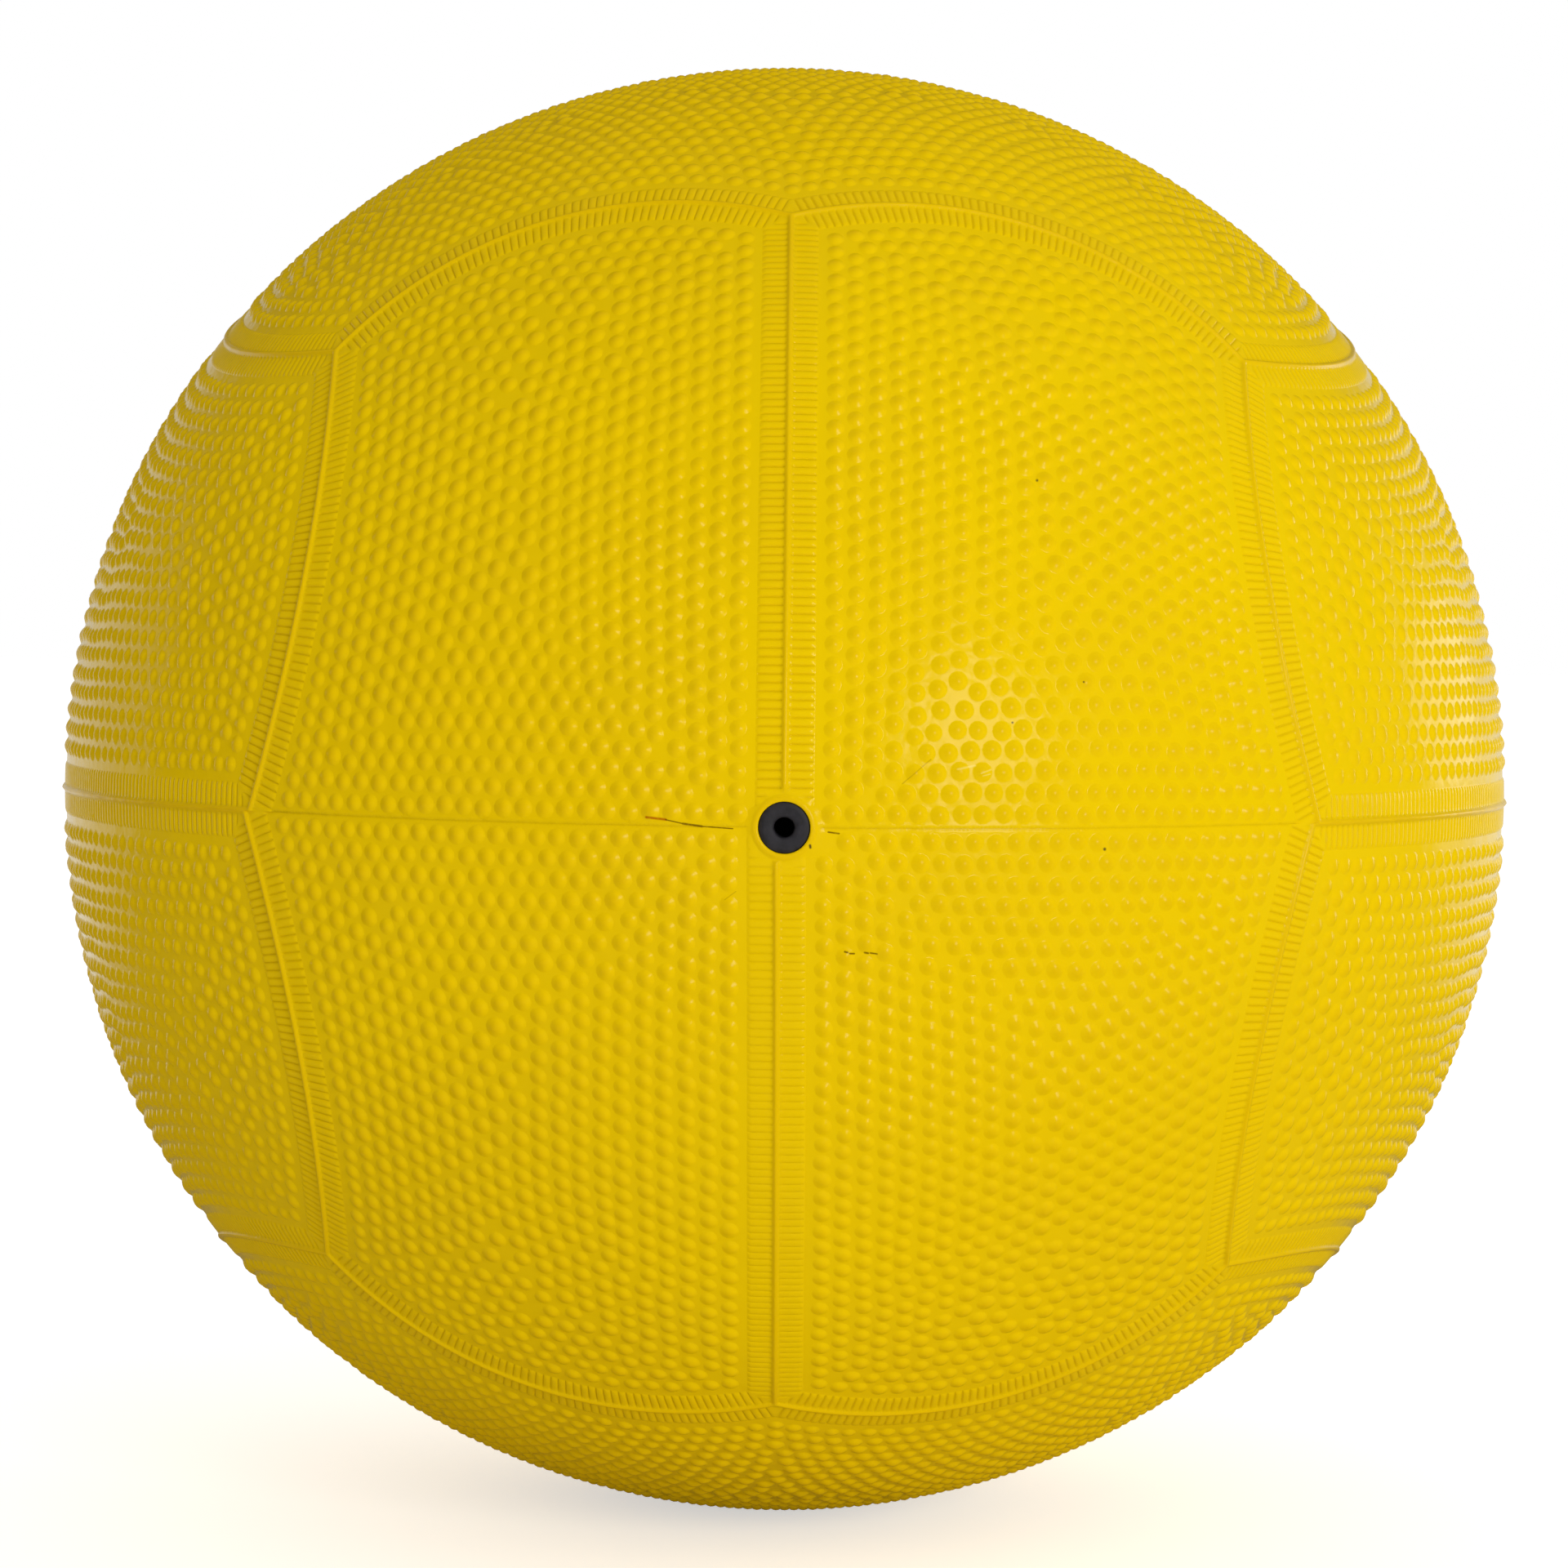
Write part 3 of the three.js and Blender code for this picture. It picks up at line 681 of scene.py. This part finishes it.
def add_skin(half, panel, skin, place, number, straight_ribs=1.0):
    """Puts a copy of a skin in its place. place is the 3x3 matrix that takes it there, number makes its
    waves its own, and straight_ribs is the depth of its straight seam's ribs against the others."""
    lower = half == "cover_lower"
    ribs = skin.groove * np.array([straight_ribs, 1.0, 1.0])[skin.seam]
    height = skin.height - ribs
    ids, along, over = skin.bead
    rough = wave(along, *((fast, start * number) for fast, start in BEAD_WAVES))
    over = np.where(lower & (over > 0), LOWER_BEAD_SHARE, 1.0) * over
    height[ids] = FLOOR + over * (1 + BEAD_ROUGHNESS * rough)
    if panel in ("left", "right"):
        crest = skin.crest & (np.abs(skin.where[:, 0]) < TINY)
        fin = wave(skin.where[crest, 2] * RADIUS + FLASH_SHIFT * number, *FLASH_WAVES)
        height[crest] += FLASH_HEIGHT * np.clip(FLASH_CONTRAST * fin, 0, 1)
    outer = skin.where * (RADIUS + height)[:, None]
    points = np.concatenate([outer, skin.back * skin.back_height[:, None]])
    faces = np.concatenate([skin.front, skin.behind + skin.count, skin.rim])
    corners = points[skin.rim]
    flat = unit(np.cross(corners[:, 1] - corners[:, 0], corners[:, 2] - corners[:, 0]))
    behind = -skin.back[skin.behind]
    normals = np.concatenate([corner_normals(skin, outer), behind, np.repeat(flat[:, None], 3, axis=1)])
    points, normals = points @ place.T, normals @ place.T
    if np.linalg.det(place) < 0:
        faces, normals = faces[:, ::-1], normals[:, ::-1]
    if lower:
        points, normals = twisted(points, points[:, 2]), twisted(normals, points[faces][..., 2])
    material = marked_material if panel.startswith("front_") else cover_material
    piece = add_mesh(f"{half}_{panel}", points, faces, normals, half, material)
    # painted shade in the creases: in the grooves between ribs by their depth, and changing along the fin's
    # crease
    dirt = skin.dirt + ribs / GROOVE_DEPTH
    dirt[ids] *= BEAD_SHADE + BEAD_SHADE_CHANGE * rough
    for label, values in (("relief", height), ("dirt", dirt)):
        values = np.concatenate([values, np.zeros(len(skin.back))])
        attribute = piece.data.attributes.new(label, "FLOAT", "POINT")
        attribute.data.foreach_set("value", values.astype(np.float32))


def twisted(v, z):
    """Turns points or directions about the upright axis, as the lower half of the mould was turned."""
    far, more, reach = LOWER_TWIST
    angle = np.radians(far + more * np.exp(-np.abs(z) / reach))
    x, y = v[..., 0], v[..., 1]
    across = x * np.cos(angle) - y * np.sin(angle)
    along = x * np.sin(angle) + y * np.cos(angle)
    return np.stack([across, along, v[..., 2]], -1)


# Materials

YELLOW_BRIGHT = (0.87, 0.6, 0.0)
YELLOW_DEEP = (0.84, 0.57, 0.0)
YELLOW_DULL = (0.79, 0.54, 0.0)
YELLOW_TOP_SHADE = (0.945, 0.91, 1.0)  # painted shade: what is taken from the colour of the pebbles' tops, to darken them against the floor between them
# painted shade, laid into grooves, creases and along the foot of the ridges
YELLOW_CREASE_SHADE = (0.34, 0.18, 0.0)
TOP_SHADE_HEIGHTS = (-0.16, 0.06)  # where the painted shade on the tops starts, and where it is full
VALVE_DARK, VALVE_PALE = (0.014, 0.013, 0.017), (0.026, 0.024, 0.031)
THREAD_DEEP, THREAD_TOP = (0.42, 0.36, 0.25), (0.72, 0.68, 0.57)
BLADDER_BLACK, BLADDER_DUST = (0.011, 0.011, 0.013), (0.035, 0.034, 0.034)
COVER_IOR, VALVE_IOR = 1.17, 1.45
# Noises: how fine, how many layers, and how strong each finer layer is
BROAD, PATCHY, GRAIN = (16.0, 3.0, 0.5), (90.0, 4.0, 0.6), (2200.0, 3.0, 0.6)
MOTTLE, FINE_GRAIN = (900.0, 4.0, 0.6), (4200.0, 2.0, 0.6)
WANDER, DUST, SPECKLE = (20.0, 2.0, 0.5), (60.0, 5.0, 0.65), (300.0, 3.0, 0.5)
# Limits of a pattern, and the values they give where these aren't 0 and 1
# the last of these sets how strong the painted shade in creases gets
BROAD_SHARE, PATCHY_SHARE, CREASE_SHADE_SHARE = (0.35, 0.65), (0.45, 0.75, 0.0, 0.25), (0.0, 1.0, 0.0, 0.13)
RELIEF_ROUGHNESS = (FLOOR, FLOOR + PEBBLE_HEIGHT, 0.15, 0.2)
PATCHY_ROUGHNESS = (0.3, 0.7, -0.02, 0.05)
MARK_GRAIN = (0.3, 0.5, 0.6, 1.0)
MOTTLE_SHARE, MOTTLE_ROUGHNESS = (0.35, 0.65), (0.3, 0.7, 0.55, 0.75)
THREAD_SHARE, THREAD_ROUGHNESS = (0.3, 0.9), (0.2, 0.9, 0.75, 0.5)
DUST_SHARE, DUST_ROUGHNESS = (0.5, 0.75), (0.4, 0.75, 0.35, 0.65)
# Strength and height of the bumps
COVER_BUMP, VALVE_BUMP = (1.0, 1.0), (0.4, 0.00005)
THREAD_BUMP, BLADDER_BUMP = (0.6, 0.0002), (0.2, 0.0002)
PATCH_HEIGHT, GRAIN_HEIGHT = 0.0004, 0.000012
THREADS = {"Scale": 260.0, "Distortion": 0.6, "Detail": 2.0}
THREAD_TURNS = ((0.3, 0.1, 0.0), (1.3, 0.4, 0.9), (0.2, 1.2, 2.0))
THREAD_WANDER = 0.004
MARK_CORE = 0.35  # share of a mark's width over which it is at its strongest


def new_material(name):
    material = bpy.data.materials.new(name)
    material.use_nodes = True
    return material, material.node_tree, material.node_tree.nodes["Principled BSDF"]


def add_node(tree, kind, inputs=None, **settings):
    """A shader node. inputs gives numbers or other nodes' outputs, by the name or number of the input."""
    made = tree.nodes.new("ShaderNode" + kind)
    for key, value in settings.items():
        setattr(made, key, value)
    for key, value in (inputs or {}).items():
        if isinstance(value, bpy.types.NodeSocket):
            tree.links.new(value, made.inputs[key])
        else:
            made.inputs[key].default_value = value
    return made


def maths(tree, operation, *values):
    return add_node(tree, "Math", dict(enumerate(values)), operation=operation).outputs[0]


def noise(tree, where, scale, detail, roughness, output="Fac"):
    inputs = {"Vector": where, "Scale": scale, "Detail": detail, "Roughness": roughness}
    return add_node(tree, "TexNoise", inputs).outputs[output]


def vector_maths(tree, operation, *values, **more):
    inputs = dict(enumerate(values)) | more
    return add_node(tree, "VectorMath", inputs, operation=operation).outputs


def dress(tree, shader, colour, roughness, height, bump):
    """Joins a colour, a roughness and the height of a pattern to the shader."""
    tree.links.new(colour, shader.inputs["Base Color"])
    tree.links.new(roughness, shader.inputs["Roughness"])
    strength, distance = bump
    bump = add_node(tree, "Bump", {"Height": height, "Strength": strength, "Distance": distance})
    tree.links.new(bump.outputs["Normal"], shader.inputs["Normal"])


def between(tree, value, low, high, to_low=0.0, to_high=1.0):
    """value from low to high, stretched to run from to_low to to_high, and held there."""
    inputs = {"Value": value, "From Min": low, "From Max": high, "To Min": to_low, "To Max": to_high}
    return add_node(tree, "MapRange", inputs).outputs["Result"]


def blend_colour(tree, share, first, second, how="MIX"):
    made = add_node(tree, "Mix", data_type="RGBA", blend_type=how)
    for key, value in (("Factor_Float", share), ("A_Color", first), ("B_Color", second)):
        socket = next(s for s in made.inputs if s.identifier == key)
        if isinstance(value, bpy.types.NodeSocket):
            tree.links.new(value, socket)
        else:
            socket.default_value = value if key == "Factor_Float" else (*value, 1.0)
    return next(s for s in made.outputs if s.identifier == "Result_Color")


def near_line(tree, where, start, end, width):
    """1 on the straight line between two places on the front of the ball, given by x and z in millimetres,
    and 0 further from it than width."""
    a, b = (Vector((x, 0, z)) * MM for x, z in (start, end))
    offset = vector_maths(tree, "SUBTRACT", where, a)[0]
    if start != end:
        share = vector_maths(tree, "DOT_PRODUCT", offset, (b - a) / (b - a).length_squared)["Value"]
        passed = vector_maths(tree, "SCALE", b - a, Scale=between(tree, share, 0.0, 1.0))[0]
        offset = vector_maths(tree, "SUBTRACT", offset, passed)[0]
    distance = vector_maths(tree, "LENGTH", offset)["Value"]
    return between(tree, distance, width * MM, MARK_CORE * width * MM)


def make_cover_material(name, marks=()):
    """Yellow rubber, with painted shade on the tops of the pebbles and in the grooves, creases and beside
    the ridges. The mesh says how high a point lies and how much painted shade it gets in the creases."""
    material, tree, shader = new_material(name)
    where = add_node(tree, "TexCoord").outputs["Object"]
    relief = add_node(tree, "Attribute", attribute_name="relief").outputs["Fac"]
    # how much painted shade in creases each point gets, read from the mesh
    dirt = add_node(tree, "Attribute", attribute_name="dirt").outputs["Fac"]
    broad, patchy, grain = (noise(tree, where, *kind) for kind in (BROAD, PATCHY, GRAIN))
    colour = blend_colour(tree, between(tree, broad, *BROAD_SHARE), YELLOW_DEEP, YELLOW_BRIGHT)
    colour = blend_colour(tree, between(tree, patchy, *PATCHY_SHARE), colour, YELLOW_DULL)
    # painted shade: the pebble tops darker and more orange than the floor between them
    colour = blend_colour(tree, between(tree, relief, *TOP_SHADE_HEIGHTS), colour, YELLOW_TOP_SHADE, "MULTIPLY")
    # painted shade in grooves, creases and at the foot of the ridges
    colour = blend_colour(tree, between(tree, dirt, *CREASE_SHADE_SHARE), colour, YELLOW_CREASE_SHADE)
    level = vector_maths(tree, "MULTIPLY", where, (1, 0, 1))[0]
    for mark, share, lines in marks:
        mask = None
        for start, end, width in lines:
            line = near_line(tree, level, start, end, width)
            mask = line if mask is None else maths(tree, "MAXIMUM", mask, line)
        mask = maths(tree, "MULTIPLY", mask, between(tree, grain, *MARK_GRAIN))
        colour = blend_colour(tree, maths(tree, "MULTIPLY", mask, share), colour, mark)
    worn = between(tree, relief, *RELIEF_ROUGHNESS)
    rough = maths(tree, "ADD", worn, between(tree, patchy, *PATCHY_ROUGHNESS))
    uneven = maths(tree, "MULTIPLY", grain, GRAIN_HEIGHT)
    uneven = maths(tree, "MULTIPLY_ADD", patchy, PATCH_HEIGHT, uneven)
    shader.inputs["IOR"].default_value = COVER_IOR
    dress(tree, shader, colour, rough, uneven, COVER_BUMP)
    return material


def make_valve_material():
    """Matte black rubber with a fine grain."""
    material, tree, shader = new_material("valve_rubber")
    where = add_node(tree, "TexCoord").outputs["Object"]
    mottle, grain = noise(tree, where, *MOTTLE), noise(tree, where, *FINE_GRAIN)
    colour = blend_colour(tree, between(tree, mottle, *MOTTLE_SHARE), VALVE_DARK, VALVE_PALE)
    shader.inputs["IOR"].default_value = VALVE_IOR
    dress(tree, shader, colour, between(tree, mottle, *MOTTLE_ROUGHNESS), grain, VALVE_BUMP)
    return material


def make_winding_material():
    """Threads wound over each other in three directions, set in latex."""
    material, tree, shader = new_material("nylon_thread")
    where = add_node(tree, "TexCoord").outputs["Object"]
    wander = vector_maths(tree, "SCALE", noise(tree, where, *WANDER, "Color"), Scale=THREAD_WANDER)[0]
    where = vector_maths(tree, "ADD", where, wander)[0]
    height = None
    for turned in THREAD_TURNS:
        lay = add_node(tree, "Mapping", {"Vector": where, "Rotation": turned}).outputs[0]
        threads = add_node(tree, "TexWave", {"Vector": lay, **THREADS}).outputs["Fac"]
        height = threads if height is None else maths(tree, "MAXIMUM", height, threads)
    colour = blend_colour(tree, between(tree, height, *THREAD_SHARE), THREAD_DEEP, THREAD_TOP)
    dress(tree, shader, colour, between(tree, height, *THREAD_ROUGHNESS), height, THREAD_BUMP)
    return material


def make_bladder_material():
    """Smooth black rubber with dust on it."""
    material, tree, shader = new_material("bladder_rubber")
    dust = noise(tree, add_node(tree, "TexCoord").outputs["Object"], *DUST)
    colour = blend_colour(tree, between(tree, dust, *DUST_SHARE), BLADDER_BLACK, BLADDER_DUST)
    dress(tree, shader, colour, between(tree, dust, *DUST_ROUGHNESS), dust, BLADDER_BUMP)
    return material


# Small marks of use and of the mould on the front, with painted shade and painted highlights along small
# folds: colour, how strong it is, and lines with their widths
MARKS = (
    # painted shade: dark lines along small folds of the skin
    ((0.5, 0.3, 0.0), 0.6, (((13.31, 5.06), (16.53, 7.84), 0.1), ((-6.65, -8.27), (-5.37, -7.31), 0.08))),
    ((0.42, 0.06, 0.0), 0.8, (((-15.6, 0.95), (-13.4, 0.72), 0.2),)),
    (
        (0.12, 0.045, 0.0),
        0.85,
        (
            ((-13.4, 0.7), (-11.45, 0.3), 0.1),
            ((-11.45, 0.3), (-9.3, 0.02), 0.18),
            ((-9.3, 0.02), (-5.8, -0.19), 0.1),
            ((7.05, -14.05), (7.35, -14.12), 0.16),
            ((7.6, -14.25), (8.1, -14.28), 0.14),
            ((9.3, -14.15), (9.7, -14.22), 0.16),
            ((9.95, -14.2), (10.7, -14.3), 0.13),
            ((5.0, -0.45), (6.2, -0.6), 0.14),
        ),
    ),
    (
        (0.05, 0.03, 0.01),
        0.9,
        (
            ((36.75, -2.44), (36.75, -2.44), 0.26),
            ((2.95, -1.95), (3.0, -2.2), 0.2),
            ((25.84, 12.03), (25.84, 12.03), 0.17),
            ((28.75, 39.78), (28.75, 39.78), 0.22),
            ((34.08, 16.68), (34.08, 16.68), 0.16),
        ),
    ),
    # painted highlights: pale streaks along small folds of the skin
    (
        (0.93, 0.74, 0.14),
        0.6,
        (
            ((19.6, 6.75), (21.6, 7.15), 0.16),
            ((22.3, 6.3), (23.4, 6.7), 0.12),
            ((22.5, 6.0), (23.3, 6.2), 0.1),
        ),
    ),
)
cover_material = make_cover_material("cover_rubber")
marked_material = make_cover_material("cover_rubber_marked", MARKS)
valve_material = make_valve_material()


# The cover, panel by panel

pebble_sets = {(whole, seed): pebble_places(whole, seed) for whole in (False, True) for seed in (0, 1)}
skins = {
    "half": [skin_of(False, seed) for seed in (0, 1)],
    "whole": [skin_of(True, seed) for seed in (0, 1)],
    "upper_valve": skin_of(False, 0, 0.0),
    "lower_valve_left": skin_of(False, 1, -LOWER_VALVE_AT),
    "lower_valve_right": skin_of(False, 0, LOWER_VALVE_AT),
}
TO_X = np.array([[0, 1, 0], [0, 0, 1], [1, 0, 0]])  # a whole panel's place beside +X, over its seam
TO_Z = np.array([[0, 0, 1], [1, 0, 0], [0, 1, 0]])  # and beside +Z, behind its seam

number = 0
for half, over, up in (("cover_upper", "top", 1), ("cover_lower", "bottom", -1)):
    for front, y in (("front", -1), ("back", 1)):
        for side, x in (("left", -1), ("right", 1)):
            skin = skins["half"][number % 2]
            if front == "front":
                skin = skins["upper_valve" if up > 0 else "lower_valve_" + side]
            straight_ribs = 1.0 if up > 0 else LOWER_RIB_SHARE
            add_skin(half, f"{front}_{side}", skin, np.diag([x, y, up]), number, straight_ribs)
            number += 1
        add_skin(half, f"{over}_{front}", skins["whole"][number % 2], np.diag([1, y, up]) @ TO_Z, number)
    for side, x in (("left", -1), ("right", 1)):
        add_skin(half, side, skins["whole"][(number + x) % 2], np.diag([x, 1, up]) @ TO_X, number)


# The valve


def add_plug():
    """The plug, turned about its axis."""
    count, n = len(PLUG_PROFILE), PLUG_SEGMENTS
    angle = np.arange(n) * 2 * math.pi / n
    radius, height = np.array(PLUG_PROFILE).T
    x, z = radius[:, None] * np.cos(angle), radius[:, None] * np.sin(angle)
    rings = np.stack([x, np.repeat(-height[:, None], n, axis=1), z], -1).reshape(-1, 3)
    points = np.concatenate([rings, [[0, -PLUG_ENDS[0], 0], [0, -PLUG_ENDS[1], 0]]])
    i, j = np.meshgrid(np.arange(count - 1), np.arange(n), indexing="ij")
    a, b = ((i * n + k % n).ravel() for k in (j, j + 1))
    c, d = a + n, b + n
    first, after = a[:n], b[:n]
    more = (count - 1) * n
    inner, slit = (np.full(n, len(rings) + k) for k in (0, 1))
    sides = (a, d, b), (a, c, d), (inner, first, after), (slit, after + more, first + more)
    faces = np.concatenate([np.column_stack(side) for side in sides])
    piece = add_mesh("valve_plug_turned", points, faces, None, "valve_plug", valve_material)
    piece.data.set_sharp_from_angle(angle=PLUG_CREASE)


add_plug()
for node, material in (
    ("valve_housing", valve_material),
    ("nylon_winding", make_winding_material()),
    ("bladder", make_bladder_material()),
):
    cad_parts[node].data.materials.clear()
    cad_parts[node].data.materials.append(material)


# Camera, light and surroundings

roll = Matrix.Rotation(math.radians(VIEW_ROLL), 3, "Z")
elevation = Matrix.Rotation(math.radians(VIEW_ELEVATION), 3, "X")
to_view = roll @ elevation @ Matrix(((1, 0, 0), (0, 0, 1), (0, -1, 0)))
from_view = to_view.transposed()

camera_data = bpy.data.cameras.new("camera")
camera_data.sensor_width = SENSOR_WIDTH
camera_data.lens = LENS
camera_data.shift_x, camera_data.shift_y = VIEW_SHIFT
camera_data.clip_start = CLIP_START
camera = bpy.data.objects.new("camera", camera_data)
camera.matrix_world = Matrix.Translation(from_view @ Vector((0, 0, VIEW_DISTANCE))) @ from_view.to_4x4()
bpy.context.scene.collection.objects.link(camera)
bpy.context.scene.camera = camera


def add_softbox(name, toward, size, power):
    """A soft lamp that faces the ball's middle. toward is its direction as the camera sees it."""
    lamp_data = bpy.data.lights.new(name, "AREA")
    lamp_data.shape = "ELLIPSE"
    lamp_data.size, lamp_data.size_y = size
    lamp_data.energy = power
    lamp = bpy.data.objects.new(name, lamp_data)
    direction = (from_view @ Vector(toward)).normalized()
    turned = direction.to_track_quat("Z", "Y").to_matrix().to_4x4()
    lamp.matrix_world = Matrix.Translation(direction * LAMP_DISTANCE) @ turned
    lamp.visible_camera = False
    bpy.context.scene.collection.objects.link(lamp)


add_softbox("key", KEY_TOWARD, KEY_SIZE, KEY_POWER)
add_softbox("rim", RIM_TOWARD, RIM_SIZE, RIM_POWER)


def seen_in_gloss(tree, toward):
    """How bright the surroundings look in the ball's gloss: white at the sides and behind it, near the level
    of its middle, and dark elsewhere."""
    split = add_node(tree, "SeparateXYZ", {0: toward}).outputs
    aside = maths(tree, "ABSOLUTE", maths(tree, "MULTIPLY", split["X"], GLOSS_SQUEEZE))
    turned = maths(tree, "ARCTAN2", aside, split["Y"])
    near_level = between(tree, maths(tree, "ABSOLUTE", split["Z"]), *GLOSS_LEVEL)
    bright = between(tree, turned, *GLOSS_TURN)
    bright = maths(tree, "MULTIPLY", bright, between(tree, turned, *GLOSS_BEHIND))
    return maths(tree, "MULTIPLY", bright, near_level)


def mix(tree, share, first, second):
    return add_node(tree, "Mix", {0: share, 2: first, 3: second}).outputs[0]


def make_world():
    """Soft light from all around, and a white backdrop for the camera."""
    world = bpy.data.worlds.new("world")
    bpy.context.scene.world = world
    world.use_nodes = True
    world.cycles.sampling_method = "NONE"
    tree = world.node_tree
    sky = tree.nodes["Background"]
    path = add_node(tree, "LightPath").outputs
    toward = add_node(tree, "TexCoord").outputs["Generated"]
    split = add_node(tree, "SeparateXYZ", {0: toward}).outputs
    ambient = AMBIENT
    for axis, more in (("Y", AMBIENT_FROM_BEHIND), ("X", AMBIENT_FROM_RIGHT), ("Z", AMBIENT_FROM_ABOVE)):
        ambient = maths(tree, "MULTIPLY_ADD", split[axis], more, ambient)
    tint = blend_colour(tree, between(tree, split["X"], -1.0, 1.0), AMBIENT_LEFT, WHITE)
    glossy = maths(tree, "MAXIMUM", path["Is Glossy Ray"], path["Is Transmission Ray"])
    strength = mix(tree, glossy, ambient, seen_in_gloss(tree, toward))
    strength = mix(tree, path["Is Camera Ray"], strength, 1.0)
    tree.links.new(strength, sky.inputs["Strength"])
    white = maths(tree, "MAXIMUM", path["Is Camera Ray"], glossy)
    tree.links.new(blend_colour(tree, white, tint, WHITE), sky.inputs["Color"])


def make_floor_material():
    """Pale and speckled, white to the camera but for the ball's shadow, and dark in the ball's gloss."""
    material, tree, shader = new_material("floor")
    path = add_node(tree, "LightPath").outputs
    place = add_node(tree, "TexCoord").outputs["Object"]
    seen = maths(tree, "MAXIMUM", path["Is Camera Ray"], path["Is Transmission Ray"])
    seen = maths(tree, "MULTIPLY", seen, GROUND_GLOW)
    toward = vector_maths(tree, "NORMALIZE", place)[0]
    glow = mix(tree, path["Is Glossy Ray"], seen, seen_in_gloss(tree, toward))
    pale = blend_colour(tree, noise(tree, place, *SPECKLE), GROUND_GREY, GROUND_SPECKLED)
    pale = blend_colour(tree, path["Is Glossy Ray"], pale, GROUND_DARK)
    tree.links.new(pale, shader.inputs["Base Color"])
    shader.inputs["Roughness"].default_value = 1.0
    shader.inputs["Specular IOR Level"].default_value = 0.0
    shader.inputs["Emission Color"].default_value = (*WHITE, 1.0)
    tree.links.new(glow, shader.inputs["Emission Strength"])
    return material


make_world()

floor_mesh = bpy.data.meshes.new("floor")
low = cad_box[0][2] - GROUND_BELOW
corners = [(x * GROUND_REACH, y * GROUND_REACH, low) for x, y in ((-1, -1), (1, -1), (1, 1), (-1, 1))]
floor_mesh.from_pydata(corners, [], [(0, 1, 2, 3)])
floor_mesh.materials.append(make_floor_material())
floor = bpy.data.objects.new("floor", floor_mesh)
bpy.context.scene.collection.objects.link(floor)

bpy.context.scene.view_settings.view_transform = "Standard"
